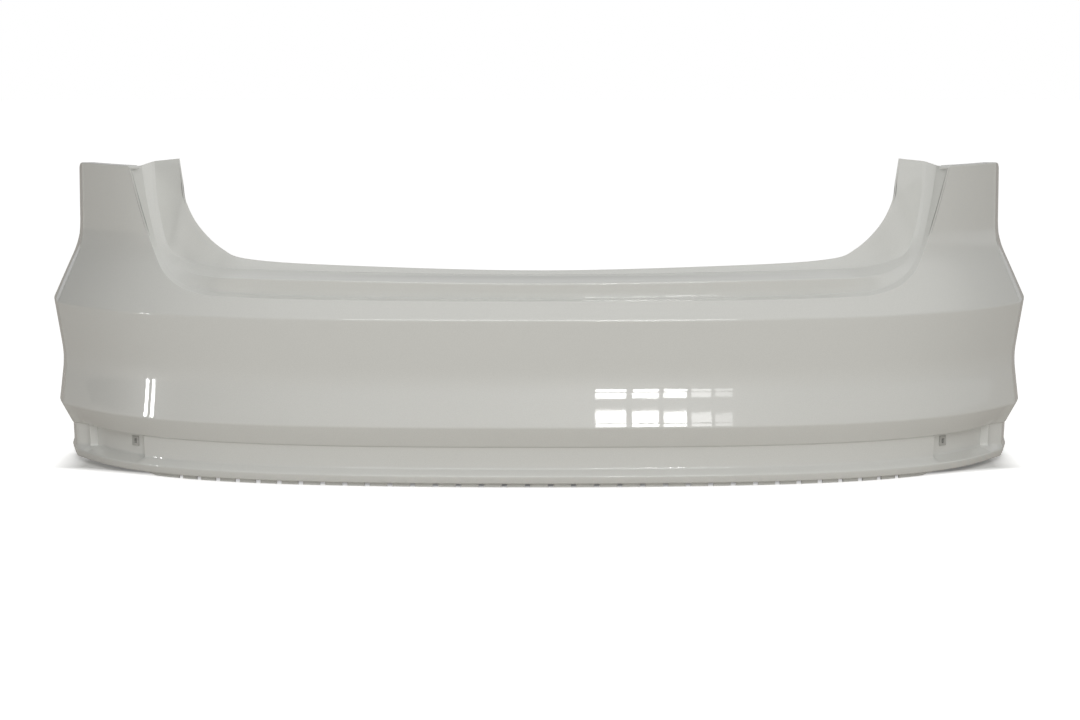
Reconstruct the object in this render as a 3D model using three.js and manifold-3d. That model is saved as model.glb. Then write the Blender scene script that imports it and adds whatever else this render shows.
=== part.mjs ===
// Rear bumper cover of a compact saloon, with the brackets and fasteners it carries on its inner side.
// Millimetres. +X runs along the cover, -Y is the outer, rear face, the wings run towards +Y, +Z is up.
// The origin is the middle of the footprint, on the level of the lowest hook tabs.
import * as THREE from 'three';
import { mergeVertices } from 'three/addons/utils/BufferGeometryUtils.js';
import Module from 'manifold-3d';

const wasm = await Module();
wasm.setup();

// ---------------------------------------------------------------- driving dimensions
const WALL = 3; // thickness of the moulded skin
const GAP = 0.3; // clearance between neighbouring pieces
const SHEET = 2.5; // thickness of the black support mouldings
const HALF_WIDTH = 894; // from the middle to the widest point of the upper crease
const DEPTH = 628; // from the rear face to the front end of the wings
const CORNER = [854, 350]; // where the rear face turns to the side, at the upper crease
const REAR_HANDLES = [[558, 0], [700, 101]]; // handles of the rear arc
const SIDE_HANDLE = [886, 466]; // handle of the side arc
const CHORD = 12; // length over which the direction of the plan curve is taken

const Z_TAB = 0; // bottom of the hook tabs
const Z_LIP = 6.5; // bottom of the lip
const Z_STRIP = 30; // foot of the recessed strip, top of the lip
const Z_STEP = 69; // top of the recessed strip
const Z_LOWER = 102; // lower crease
const Z_UPPER = 283; // upper crease
const Z_WING = 530; // top of the wings behind the corner
const Z_WING_END = 440; // top of the wings at the wheel arch

const SHOULDER_SLOPE = 0.46; // how far the upper face leans in for each millimetre of height
const WING_INSET = 49; // how far the upright part of the wing stands inside the upper crease
const LOWER_INSET = 7; // how far the lower crease stands inside the upper crease
const SIDE_TUCK = { start: 790, full: 1010, deep: 12 }; // the lip and strip draw in at the sides
const STRIP_FILL = { start: 938, full: 975, rise: 11 }; // the strip comes out again beyond the pockets
const WALL_LEAN = { middle: 1.45, upright: 0.8 }; // depth of the recess wall's foot, as a share of its top's
const POCKET = { start: 742, end: 925, deep: 12, blend: 14 }; // reflector pocket, along the plan curve
const FLANGE = 20; // width of the flanges round the wing top and the wheel arch
const ARCH = { y: 770, z: 115, radius: 345 }; // wheel arch circle, seen from the side

const EAR = { wide: 32, thick: 3, reach: 30 }; // mounting ears for the push rivets
// Ears behind the lip: depths inside the plan curve, and height.
const BOTTOM_EAR = { near: 31, far: 63, z: 8.4 };
const SILL_RIVETS = [-390, -130, 130, 390]; // across the cover
const BOTTOM_RIVETS = [-470, -160, 160, 470]; // along the plan curve
const RIVET_INSET = 17; // from the sill fold to the middle of a rivet
const RIVET_HOLE = 3.8; // radius
const TAB_PITCH = 39; // spacing of the hook tabs
const TAB_NOTCH = 9; // gap between two hook tabs
const TAB_REACH = 700; // the comb of tabs ends here, along the plan curve
const TAB_FADE_RISE = 4.5; // beyond the comb the wall under the lip is this much shorter
const CLIP_HOLE = { s: 772, z: 54, side: 12 }; // square hole in the floor of each reflector pocket

const SILL_GUIDE = { half: 430, wide: 31, hang: 12, drop: 1.6 }; // centre guide, free of the sill ears
const STIFFENER = { half: 640, near: 35.5, top: 62 }; // angle behind the recessed strip
// Side guides: reach along the plan curve about the corner, and depths inside the wing.
const SIDE_GUIDE = { before: 70, after: 215, near: 4.5, far: 19, drop: 4.6, hang: 28 };
const GUIDE_PADS = [10, 150]; // along the plan curve, beyond the corner
const GUIDE_PAD = { wide: 36, tall: 24, near: 5.5, far: 13, drop: 26 }; // depths inside the wing
const LAMP_PAD = { x: 641, y: 272, z: 462, wide: 35, deep: 6, tall: 46 };
const LAMP_RIBS = [-12, 0, 13]; // from the middle of the lamp pad
const LAMP_GAP = 0.8; // between the upright and the plate behind it
const ARCH_BRACKET = { rows: [7, 14], near: 5 }; // strip behind the wheel-arch flange
const ARCH_SCREW_ROWS = [7, 10, 13]; // each screw sits on the flange between this row and the next
const SCREW_HOLE = 3; // radius
const SCREW_INSET = 13.4; // from the face of the wing to the middle of a screw
const NUT = { sheet: 0.8, wide: 11, near: 10.4, hole: 2.75 };

// ---------------------------------------------------------------- materials
const finish = (color, roughness, metalness) => new THREE.MeshStandardMaterial(
  { color, roughness, metalness });
const PAINT = () => finish(0xe4e4de, 0.18, 0.0);
const BLACK_PLASTIC = () => finish(0x1d1e20, 0.6, 0.0);
const SPRING_STEEL = () => finish(0x8b8d90, 0.35, 1.0);
const SCREW_STEEL = () => finish(0x50535a, 0.4, 1.0);
const RIVET_PLASTIC = () => finish(0x232426, 0.5, 0.0);

// ---------------------------------------------------------------- plan curve
const vec2 = (x, y) => new THREE.Vector2(x, y);
const rearArc = new THREE.CubicBezierCurve(
  vec2(0, 0), ...REAR_HANDLES.map((at) => vec2(...at)), vec2(...CORNER));
const sideArc = new THREE.QuadraticBezierCurve(
  vec2(...CORNER), vec2(...SIDE_HANDLE), vec2(HALF_WIDTH, DEPTH));
rearArc.arcLengthDivisions = 400;
sideArc.arcLengthDivisions = 400;
const S_CORNER = rearArc.getLength();
const S_END = S_CORNER + sideArc.getLength();

function planPoint(s) {
  const reach = Math.min(Math.abs(s), S_END);
  const point = reach <= S_CORNER
    ? rearArc.getPointAt(reach / S_CORNER)
    : sideArc.getPointAt((reach - S_CORNER) / (S_END - S_CORNER));
  return vec2(Math.sign(s) * point.x, point.y);
}

// Outward normal of the plan curve, taken over a short chord so that it turns smoothly at the corner.
function planNormal(s) {
  const ahead = Math.min(s + CHORD, S_END);
  const behind = Math.max(s - CHORD, -S_END);
  const along = planPoint(ahead).sub(planPoint(behind)).normalize();
  return vec2(along.y, -along.x);
}

// A point of the outer surface: a place along the plan curve, a height, and a depth inside the curve.
function place(s, z, depth) {
  const at = planPoint(s);
  const out = planNormal(s);
  return new THREE.Vector3(at.x - out.x * depth, at.y - out.y * depth, z);
}

// ---------------------------------------------------------------- section of the outer face
const mix = (a, b, t) => a + (b - a) * t;

function softMin(a, b, soft) {
  const near = Math.max(soft - Math.abs(a - b), 0);
  return Math.min(a, b) - (near * near) / (4 * soft);
}

function faceDepth(z) {
  if (z >= Z_UPPER) return softMin(SHOULDER_SLOPE * (z - Z_UPPER), WING_INSET, 12);
  const fromAbove = 0.16 * (Z_UPPER - z);
  const fromBelow = LOWER_INSET + 0.12 * (z - Z_LOWER);
  return softMin(fromAbove, fromBelow, 6);
}

// How far a place along the plan curve lies inside the reflector pocket, from 0 to 1.
function pocketShare(s) {
  const reach = Math.abs(s);
  const inner = THREE.MathUtils.smoothstep(reach, POCKET.start - POCKET.blend, POCKET.start);
  const outer = 1 - THREE.MathUtils.smoothstep(reach, POCKET.end, POCKET.end + POCKET.blend);
  return inner * outer;
}

// How far the lip and the strip draw in at a place along the plan curve.
function sideTuck(s) {
  return SIDE_TUCK.deep * THREE.MathUtils.smoothstep(Math.abs(s), SIDE_TUCK.start, SIDE_TUCK.full);
}

// How far the strip comes out beyond the reflector pocket.
function stripFill(s) {
  return STRIP_FILL.rise * THREE.MathUtils.smoothstep(Math.abs(s), STRIP_FILL.start, STRIP_FILL.full);
}

// Rows below the lower crease: height, and depth inside the plan curve.
const LOWER_ROWS = [
  [Z_TAB, 30],
  [Z_LIP + 1, 30],
  [Z_LIP, 21],
  [21, 17],
  [Z_STRIP, 31],
  [Z_STEP - 2, 29],
  [Z_STEP, 24],
  [Z_LOWER, LOWER_INSET],
];
const STRIP_ROWS = [4, 5];
const FILL_ROWS = [4, 5, 6];
const MIDDLE_HEIGHTS = [155, 182, 212, Z_UPPER];
const UPPER_STEPS = 4;
const FIRST_ARCH_ROW = 6;
const MIDDLE_END = LOWER_ROWS.length + MIDDLE_HEIGHTS.length - 1;
const FACE_ROWS = MIDDLE_END + UPPER_STEPS;

// ---------------------------------------------------------------- outline of the boot-lid opening
// Each curve runs from the middle to the top of the upright, through the same eight stations. It starts with
// the mirror image of its second point, which keeps it smooth in the middle.
const spline = (points) => new THREE.CatmullRomCurve3(
  [[-points[1][0], ...points[1].slice(1)], ...points].map((p) => new THREE.Vector3(...p)),
  false, 'catmullrom', 0.5);
const STATIONS = 7;
// Outer rim: distance from the middle and height. It lies on the outer face.
const RIM = spline([
  [0, 0, 314], [310, 0, 314.5], [500, 0, 316], [581, 0, 321],
  [633, 0, 345], [662, 0, 391], [686, 0, 460], [707, 0, Z_WING],
]);
const WALL_TOP = spline([
  [0, 30, 343], [314, 46, 346], [500, 85, 347], [560, 117, 348],
  [603, 152, 356], [641, 195, 383], [665, 250, 455], [676, 290, 539],
]);
const GROOVE = spline([
  [0, 88, 354], [315, 104, 357], [500, 142, 359], [557, 166, 361],
  [607, 192, 370], [637, 207, 390], [660, 253, 462], [671, 291, 540],
]);
const EDGE = spline([
  [0, 95, 360], [320, 112, 367], [488, 148, 375], [542, 172, 392],
  [585, 198, 430], [609, 222, 473], [616, 245, 507], [624, 268, 543],
]);
const onStation = (curve, t) => curve.getPoint((t + 1) / (STATIONS + 1));

// Arc length at which the outer face stands a given distance from the middle at a given height.
function arcAt(x, z) {
  let low = 0;
  let high = S_CORNER;
  for (let i = 0; i < 40; i += 1) {
    const middle = (low + high) / 2;
    if (place(middle, z, faceDepth(z)).x < x) low = middle;
    else high = middle;
  }
  return low;
}

// ---------------------------------------------------------------- columns of the skin
const wingShare = (s) => Math.max(0, (Math.abs(s) - S_CORNER) / (S_END - S_CORNER));
const wingTop = (share) => mix(Z_WING, Z_WING_END, share * share);

// Arc length at which the wheel arch cuts the side at a given height.
function archEnd(z) {
  const dz = z - ARCH.z;
  const y = Math.min(DEPTH, ARCH.y - Math.sqrt(Math.max(0, ARCH.radius ** 2 - dz * dz)));
  let low = S_CORNER;
  let high = S_END;
  for (let i = 0; i < 40; i += 1) {
    const middle = (low + high) / 2;
    if (planPoint(middle).y < y) low = middle;
    else high = middle;
  }
  return high;
}

const TAU = [0, 0.5, 1, 1.5, 2, 2.5, 3, 3.4, 3.7, 4, 4.35, 4.7, 5, 5.5, 6, 6.5, 7];
const BASE_AT_STATION = [0, 305, 495, 572, 622, 672, 754, 805];
const COLUMNS = [];
for (const tau of TAU) {
  const whole = Math.min(Math.floor(tau), STATIONS - 1);
  const rim = onStation(RIM, tau);
  COLUMNS.push({
    tau,
    share: 0,
    base: mix(BASE_AT_STATION[whole], BASE_AT_STATION[whole + 1], tau - whole),
    top: arcAt(rim.x, rim.z),
    height: rim.z,
  });
}
const LAST_OPENING = COLUMNS.length - 1;
const openingTop = COLUMNS[LAST_OPENING];
for (const t of [0.35, 0.7, 1]) {
  COLUMNS.push({
    share: 0,
    base: mix(openingTop.base, S_CORNER, t),
    top: mix(openingTop.top, S_CORNER, t),
    height: Z_WING,
  });
}
for (const share of [0.12, 0.34, 0.56, 0.78, 1]) {
  COLUMNS.push({ share, height: wingTop(share) });
}
const LAST_COLUMN = COLUMNS.length - 1;

// Arc length of a column at a height. Beyond the corner the columns follow the wheel arch.
function arcOf(column, z, up) {
  if (column.share > 0) return mix(S_CORNER, archEnd(z), column.share);
  return mix(column.base, column.top, up);
}

function mirrored(point, index) {
  if (index < 0) point.x = -point.x;
  return point;
}

function facePoint(row, index) {
  const column = COLUMNS[Math.abs(index)];
  if (row < LOWER_ROWS.length) {
    const [z, depth] = LOWER_ROWS[row];
    const s = arcOf(column, z, 0);
    const tuck = row < LOWER_ROWS.length - 1 ? sideTuck(s) : 0;
    const pocket = STRIP_ROWS.includes(row) ? POCKET.deep * pocketShare(s) : 0;
    const fill = FILL_ROWS.includes(row) ? stripFill(s) : 0;
    const extra = tuck + pocket - fill;
    const rise = row === 0 ? TAB_FADE_RISE * THREE.MathUtils.smoothstep(s, TAB_REACH, TAB_REACH + 25) : 0;
    return mirrored(place(s, z + rise, depth + extra), index);
  }
  if (row <= MIDDLE_END) {
    const z = MIDDLE_HEIGHTS[row - LOWER_ROWS.length];
    return mirrored(place(arcOf(column, z, 0), z, faceDepth(z)), index);
  }
  const up = (row - MIDDLE_END) / UPPER_STEPS;
  const z = mix(Z_UPPER, column.height, up);
  return mirrored(place(arcOf(column, z, up), z, faceDepth(z)), index);
}

// Rows of the recess behind the rim: foot of the wall, wall top, groove, edge and folded flange.
function recessPoint(row, index) {
  if (row === 0) return facePoint(FACE_ROWS, index);
  const { tau } = COLUMNS[Math.abs(index)];
  const climb = tau / STATIONS;
  const wall = onStation(WALL_TOP, tau);
  const edge = onStation(EDGE, tau);
  if (row === 1) {
    const rim = facePoint(FACE_ROWS, Math.abs(index));
    const point = new THREE.Vector3(
      mix(rim.x, wall.x, mix(0.1, 0.3, climb)),
      mix(rim.y, wall.y, mix(WALL_LEAN.middle, WALL_LEAN.upright, climb)),
      mix(rim.z, wall.z, mix(0.03, 0.3, climb)));
    return mirrored(point, index);
  }
  if (row === 2) return mirrored(wall, index);
  if (row === 3) return mirrored(onStation(GROOVE, tau), index);
  if (row === 4) return mirrored(edge, index);
  const fold = THREE.MathUtils.smoothstep(tau, 2, 4);
  const folded = edge.add(new THREE.Vector3(5 * fold, mix(7, 15, fold), mix(-12, -1, fold)));
  return mirrored(folded, index);
}

function flangePoint(base, s) {
  const out = planNormal(Math.abs(s));
  return base.add(new THREE.Vector3(-out.x * FLANGE * Math.sign(base.x), -out.y * FLANGE, 0));
}

function wingFlangePoint(row, index) {
  const base = facePoint(FACE_ROWS, index);
  if (row === 0) return base;
  const column = COLUMNS[Math.abs(index)];
  return flangePoint(base, arcOf(column, column.height, 1));
}

function archFlangePoint(row, index) {
  const inside = Math.sign(index) * Math.min(Math.abs(index), LAST_COLUMN);
  const base = facePoint(row, inside);
  if (inside === index) return base;
  return flangePoint(base, archEnd(base.z));
}

// ---------------------------------------------------------------- solids from surfaces
function patch(rows, columns, pointOf) {
  const corners = [];
  for (let r = rows[0]; r < rows[1]; r += 1) {
    for (let c = columns[0]; c < columns[1]; c += 1) {
      const a = pointOf(r, c);
      const b = pointOf(r, c + 1);
      const d = pointOf(r + 1, c + 1);
      const e = pointOf(r + 1, c);
      if (c < 0) corners.push(a, b, e, b, d, e);
      else corners.push(a, b, d, a, d, e);
    }
  }
  return corners;
}

function surface(...patches) {
  const points = patches.flat();
  const positions = new Float32Array(points.flatMap((p) => [p.x, p.y, p.z]));
  const loose = new THREE.BufferGeometry();
  loose.setAttribute('position', new THREE.BufferAttribute(positions, 3));
  const joined = mergeVertices(loose, 0.01);
  const triangles = [];
  const index = joined.index.array;
  for (let i = 0; i < index.length; i += 3) {
    const [a, b, c] = [index[i], index[i + 1], index[i + 2]];
    if (a !== b && b !== c && a !== c) triangles.push([a, b, c]);
  }
  const place3 = joined.attributes.position;
  const vertices = [];
  for (let i = 0; i < place3.count; i += 1) vertices.push(new THREE.Vector3().fromBufferAttribute(place3, i));
  return { vertices, triangles };
}

// Mitred vertex normals, so that walls keep their thickness round a crease.
function vertexNormals({ vertices, triangles }) {
  const sums = vertices.map(() => new THREE.Vector3());
  const faces = triangles.map(([a, b, c]) => new THREE.Triangle(vertices[a], vertices[b], vertices[c]));
  const normals = faces.map((face) => face.getNormal(new THREE.Vector3()));
  triangles.forEach((corners, i) => {
    corners.forEach((corner, k) => {
      const here = vertices[corner];
      const next = vertices[corners[(k + 1) % 3]].clone().sub(here);
      const last = vertices[corners[(k + 2) % 3]].clone().sub(here);
      sums[corner].addScaledVector(normals[i], next.angleTo(last));
    });
  });
  sums.forEach((sum) => sum.normalize());
  const reach = vertices.map(() => 1);
  triangles.forEach((corners, i) => {
    for (const corner of corners) {
      const cosine = Math.max(0.62, sums[corner].dot(normals[i]));
      reach[corner] = Math.max(reach[corner], 1 / cosine);
    }
  });
  return sums.map((sum, i) => sum.multiplyScalar(reach[i]));
}

// A closed wall between two distances below an open surface.
function wall(sheet, from, to) {
  const normals = vertexNormals(sheet);
  const shifted = (depth) => sheet.vertices.map((v, i) => v.clone().addScaledVector(normals[i], -depth));
  const vertices = [...shifted(from), ...shifted(to)];
  const count = sheet.vertices.length;
  const used = new Set(sheet.triangles.flatMap(([a, b, c]) => [a + '_' + b, b + '_' + c, c + '_' + a]));
  const triangles = [];
  for (const [a, b, c] of sheet.triangles) {
    triangles.push(a, b, c, c + count, b + count, a + count);
    for (const [p, q] of [[a, b], [b, c], [c, a]]) {
      if (!used.has(q + '_' + p)) triangles.push(q, p, p + count, q, p + count, q + count);
    }
  }
  return new wasm.Manifold(new wasm.Mesh({
    numProp: 3,
    vertProperties: new Float32Array(vertices.flatMap((v) => [v.x, v.y, v.z])),
    triVerts: new Uint32Array(triangles),
  }));
}

function solid(geometry) {
  const bare = geometry.index ? geometry.toNonIndexed() : geometry.clone();
  bare.deleteAttribute('normal');
  bare.deleteAttribute('uv');
  const merged = mergeVertices(bare, 1e-4);
  return new wasm.Manifold(new wasm.Mesh({
    numProp: 3,
    vertProperties: merged.attributes.position.array,
    triVerts: new Uint32Array(merged.index.array),
  }));
}

function geometryOf(manifold) {
  const mesh = manifold.getMesh();
  const geometry = new THREE.BufferGeometry();
  geometry.setAttribute('position', new THREE.BufferAttribute(new Float32Array(mesh.vertProperties), 3));
  geometry.setIndex(new THREE.BufferAttribute(new Uint32Array(mesh.triVerts), 1));
  return geometry.toNonIndexed();
}

function largestBody(manifold) {
  return manifold.decompose().sort((a, b) => b.volume() - a.volume())[0];
}

// A box of given size, centred on a point, with its Z turned by an angle.
function box(size, centre, turn = 0) {
  const geometry = new THREE.BoxGeometry(...size);
  geometry.rotateZ(turn);
  geometry.translate(...centre);
  return solid(geometry);
}

// A frame on the flat piece of the wheel-arch flange between two rows: X runs along the arch, Y towards the
// inside of the car and Z out of the flange.
function archFrame(side, row, inset) {
  const foot = facePoint(row, LAST_COLUMN);
  const head = facePoint(row + 1, LAST_COLUMN);
  const along = head.clone().sub(foot).normalize();
  const out = planNormal(archEnd((foot.z + head.z) / 2));
  const inward = new THREE.Vector3(-out.x, -out.y, 0);
  inward.addScaledVector(along, -inward.dot(along)).normalize();
  const ahead = new THREE.Vector3().crossVectors(along, inward);
  if (ahead.y < 0) ahead.negate();
  const base = foot.add(head).multiplyScalar(0.5).addScaledVector(inward, inset);
  const across = new THREE.Vector3().crossVectors(inward, ahead);
  const frame = new THREE.Matrix4().makeBasis(across, inward, ahead).setPosition(base);
  if (side > 0) return frame;
  const mirror = new THREE.Matrix4().makeScale(-1, 1, 1);
  return mirror.clone().multiply(frame).multiply(mirror);
}

function drill(radius, length, matrix) {
  const geometry = new THREE.CylinderGeometry(radius, radius, length, 10);
  geometry.rotateX(Math.PI / 2);
  return solid(geometry.applyMatrix4(matrix));
}

const upright = (x, y, z) => new THREE.Matrix4().makeTranslation(x, y, z);

export const parts = new THREE.Group();
function addPart(name, geometry, material) {
  const mesh = new THREE.Mesh(geometry, material);
  mesh.name = name;
  parts.add(mesh);
  return mesh;
}

// ---------------------------------------------------------------- helpers for the inner pieces
// A bar of constant section laid through a row of stations. The section is a list of [across, up] points.
function sweep(section, stations, pointOf) {
  const rings = stations.map((station) => section.map(([a, b]) => pointOf(station, a, b)));
  const vertices = rings.flat();
  const n = section.length;
  const triangles = [];
  for (let i = 0; i + 1 < stations.length; i += 1) {
    for (let k = 0; k < n; k += 1) {
      const a = i * n + k;
      const b = i * n + ((k + 1) % n);
      triangles.push(a, b, b + n, a, b + n, a + n);
    }
  }
  const last = (stations.length - 1) * n;
  const outline = section.map(([a, b]) => vec2(a, b));
  const sense = Math.sign(THREE.ShapeUtils.area(outline));
  for (const corners of THREE.ShapeUtils.triangulateShape(outline, [])) {
    const same = Math.sign(THREE.ShapeUtils.area(corners.map((k) => outline[k]))) === sense;
    const [a, b, c] = same ? corners : [...corners].reverse();
    triangles.push(c, b, a, last + a, last + b, last + c);
  }
  const build = (order) => new wasm.Manifold(new wasm.Mesh({
    numProp: 3,
    vertProperties: new Float32Array(vertices.flatMap((v) => [v.x, v.y, v.z])),
    triVerts: new Uint32Array(order),
  }));
  const made = build(triangles);
  if (made.volume() > 0) return made;
  for (let i = 0; i < triangles.length; i += 3) {
    [triangles[i + 1], triangles[i + 2]] = [triangles[i + 2], triangles[i + 1]];
  }
  return build(triangles);
}

const evenly = (from, to, steps) => Array.from({ length: steps + 1 }, (_, i) => mix(from, to, i / steps));
// Section of an angle: a flat leg and a leg hanging from its far or near end.
const angleSection = (a0, a1, b1, hang, at) => {
  const b0 = b1 - SHEET;
  if (at === 'far') {
    return [[a0, b0], [a1 - SHEET, b0], [a1 - SHEET, b0 - hang], [a1, b0 - hang], [a1, b1], [a0, b1]];
  }
  return [[a0, b0 - hang], [a0 + SHEET, b0 - hang], [a0 + SHEET, b0], [a1, b0], [a1, b1], [a0, b1]];
};
const turnAt = (s) => {
  const out = planNormal(s);
  return Math.atan2(out.x, -out.y);
};
const turned = (matrix, turn) => matrix.multiply(new THREE.Matrix4().makeRotationZ(turn));

function revolve(profile, segments = 10) {
  const geometry = new THREE.LatheGeometry(profile.map(([r, z]) => vec2(r, z)), segments);
  return geometry.rotateX(Math.PI / 2);
}

function placed(name, geometry, material, matrix) {
  const mesh = addPart(name, geometry, material);
  matrix.decompose(mesh.position, mesh.quaternion, mesh.scale);
  return mesh;
}

// ---------------------------------------------------------------- cover skin
const SIDES = [['right', 1], ['left', -1]];
const outerSheet = surface(
  patch([0, FACE_ROWS], [-LAST_COLUMN, LAST_COLUMN], facePoint),
  patch([0, 5], [-LAST_OPENING, LAST_OPENING], recessPoint),
  patch([0, 1], [LAST_OPENING, LAST_COLUMN], wingFlangePoint),
  patch([0, 1], [-LAST_COLUMN, -LAST_OPENING], wingFlangePoint),
  patch([FIRST_ARCH_ROW, FACE_ROWS], [LAST_COLUMN, LAST_COLUMN + 1], archFlangePoint),
  patch([FIRST_ARCH_ROW, FACE_ROWS], [-LAST_COLUMN - 1, -LAST_COLUMN], archFlangePoint),
);
// Room round the skin for the pieces that follow its curved inner side, taken in two layers at its creases.
const KEEP_OUT = [GAP, 2 * GAP].map((room) => wall(outerSheet, -room, WALL + room));
const clearOfSkin = (piece) => largestBody(KEEP_OUT.reduce((rest, room) => rest.subtract(room), piece));

// The folded flange behind the sill edge, at a distance from the middle.
function sillFold(x) {
  const t = Math.abs(x) <= 320 ? Math.abs(x) / 320 : 1 + (Math.abs(x) - 320) / 168;
  const edge = onStation(EDGE, t);
  return new THREE.Vector3(x, edge.y + 7, edge.z - 12);
}
const sillTurn = (x) => Math.atan2(sillFold(x + 5).y - sillFold(x - 5).y, 10);

function sillEar(x) {
  const fold = sillFold(x);
  const turn = sillTurn(x);
  const middle = EAR.reach / 2 - 1.2;
  return box([EAR.wide, EAR.reach + 2.4, EAR.thick],
    [x - Math.sin(turn) * middle, fold.y + Math.cos(turn) * middle, fold.z + EAR.thick / 2 + 0.1], turn);
}

function sillRivetFrame(x) {
  const fold = sillFold(x);
  const turn = sillTurn(x);
  return upright(x - Math.sin(turn) * RIVET_INSET, fold.y + Math.cos(turn) * RIVET_INSET,
    fold.z + EAR.thick + 0.1);
}

function bottomEar(s) {
  const middle = place(s, BOTTOM_EAR.z + EAR.thick / 2, (BOTTOM_EAR.near + BOTTOM_EAR.far) / 2);
  return box([EAR.wide, BOTTOM_EAR.far - BOTTOM_EAR.near, EAR.thick], middle.toArray(), turnAt(s));
}

function bottomRivetFrame(s) {
  const at = place(s, BOTTOM_EAR.z, 51);
  return upright(...at.toArray()).multiply(new THREE.Matrix4().makeRotationX(Math.PI));
}

function clipHoleBox(side, extra) {
  const at = place(CLIP_HOLE.s, CLIP_HOLE.z, 41);
  const size = CLIP_HOLE.side + extra;
  return box([size, 30, size], [side * at.x, at.y, at.z], side * turnAt(CLIP_HOLE.s));
}

let skin = wall(outerSheet, 0, WALL);
for (const x of SILL_RIVETS) {
  skin = skin.add(sillEar(x)).subtract(drill(RIVET_HOLE, 40, sillRivetFrame(x)));
}
for (const s of BOTTOM_RIVETS) {
  skin = skin.add(bottomEar(s)).subtract(drill(RIVET_HOLE, 14, bottomRivetFrame(s)));
}
for (let s = TAB_PITCH / 2; s < TAB_REACH; s += TAB_PITCH) {
  for (const [, side] of SIDES) {
    const at = place(side * s, 3.5, 32);
    skin = skin.subtract(box([TAB_NOTCH, 9, 9], at.toArray(), turnAt(side * s)));
  }
}
for (const [, side] of SIDES) {
  skin = skin.subtract(clipHoleBox(side, 0));
  for (const row of ARCH_SCREW_ROWS) {
    skin = skin.subtract(drill(SCREW_HOLE, 16, archFrame(side, row, SCREW_INSET)));
  }
}
addPart('cover_skin', geometryOf(largestBody(skin)), PAINT());

// ---------------------------------------------------------------- centre guide under the sill ears
function centreGuide() {
  const section = angleSection(-2, SILL_GUIDE.wide, -SILL_GUIDE.drop, SILL_GUIDE.hang, 'far');
  const bar = sweep(section, evenly(-SILL_GUIDE.half, SILL_GUIDE.half, 26), (x, across, up) => {
    const fold = sillFold(x);
    const turn = sillTurn(x);
    return new THREE.Vector3(x - Math.sin(turn) * across, fold.y + Math.cos(turn) * across, fold.z + up);
  });
  const holes = SILL_RIVETS.map((x) => drill(RIVET_HOLE, 40, sillRivetFrame(x)));
  return clearOfSkin(holes.reduce((piece, hole) => piece.subtract(hole), bar));
}
addPart('centre_guide', geometryOf(centreGuide()), BLACK_PLASTIC());

// ---------------------------------------------------------------- lower stiffener behind the strip
function lowerStiffener() {
  const { near, top } = STIFFENER;
  const foot = BOTTOM_EAR.z + EAR.thick + GAP;
  const section = [
    [near, foot], [BOTTOM_EAR.far, foot], [BOTTOM_EAR.far, foot + SHEET],
    [near + SHEET, foot + SHEET], [near + SHEET, top], [near, top],
  ];
  const bar = sweep(section, evenly(-STIFFENER.half, STIFFENER.half, 28),
    (s, depth, z) => place(s, z, depth));
  const holes = BOTTOM_RIVETS.map((s) => drill(RIVET_HOLE, 40, bottomRivetFrame(s)));
  return clearOfSkin(holes.reduce((piece, hole) => piece.subtract(hole), bar));
}
addPart('lower_stiffener', geometryOf(lowerStiffener()), BLACK_PLASTIC());

// ---------------------------------------------------------------- side guides under the wing tops
function sideGuide() {
  const section = angleSection(SIDE_GUIDE.near, SIDE_GUIDE.far, -SIDE_GUIDE.drop, SIDE_GUIDE.hang, 'near');
  const bar = sweep(section, evenly(S_CORNER - SIDE_GUIDE.before, S_CORNER + SIDE_GUIDE.after, 12),
    (s, depth, z) => place(s, wingTop(wingShare(s)) + z, WING_INSET + depth));
  const pads = GUIDE_PADS.map((beyond) => {
    const s = S_CORNER + beyond;
    const z = wingTop(wingShare(s)) - GUIDE_PAD.drop;
    const at = place(s, z, WING_INSET + (GUIDE_PAD.near + GUIDE_PAD.far) / 2);
    return box([GUIDE_PAD.wide, GUIDE_PAD.far - GUIDE_PAD.near, GUIDE_PAD.tall], at.toArray(), turnAt(s));
  });
  return clearOfSkin(pads.reduce((piece, pad) => piece.add(pad), bar));
}

// ---------------------------------------------------------------- tail-lamp brackets behind the uprights
function lampBracket() {
  const taus = [4.5, 4.9, 5.3, 5.7, 6.1, 6.5];
  const shares = [0.14, 0.42, 0.7];
  const back = surface(patch([0, 2], [0, 5], (row, column) => {
    const groove = onStation(GROOVE, taus[column]);
    return groove.lerp(onStation(EDGE, taus[column]), shares[row]);
  }));
  const plate = wall(back, WALL + LAMP_GAP, WALL + LAMP_GAP + SHEET);
  const pad = box([LAMP_PAD.wide, LAMP_PAD.deep, LAMP_PAD.tall], [LAMP_PAD.x, LAMP_PAD.y, LAMP_PAD.z]);
  const ribs = LAMP_RIBS.map((dx) => box([3, 40, LAMP_PAD.tall],
    [LAMP_PAD.x + dx, LAMP_PAD.y - 18, LAMP_PAD.z]));
  const joined = ribs.reduce((piece, rib) => piece.add(rib), plate.add(pad));
  return clearOfSkin(joined);
}

// ---------------------------------------------------------------- wheel-arch brackets
function archBracket() {
  const sheet = surface(patch(ARCH_BRACKET.rows, [0, 1], (row, column) => {
    const base = facePoint(row, LAST_COLUMN);
    const out = planNormal(archEnd(base.z));
    const inset = column === 0 ? ARCH_BRACKET.near : FLANGE;
    return base.add(new THREE.Vector3(-out.x * inset, -out.y * inset, 0));
  }));
  const from = WALL + 2 * GAP;
  const bar = wall(sheet, from, from + SHEET);
  const holes = ARCH_SCREW_ROWS.map((row) => drill(SCREW_HOLE, 20, archFrame(1, row, SCREW_INSET)));
  return clearOfSkin(holes.reduce((piece, hole) => piece.subtract(hole), bar));
}

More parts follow.
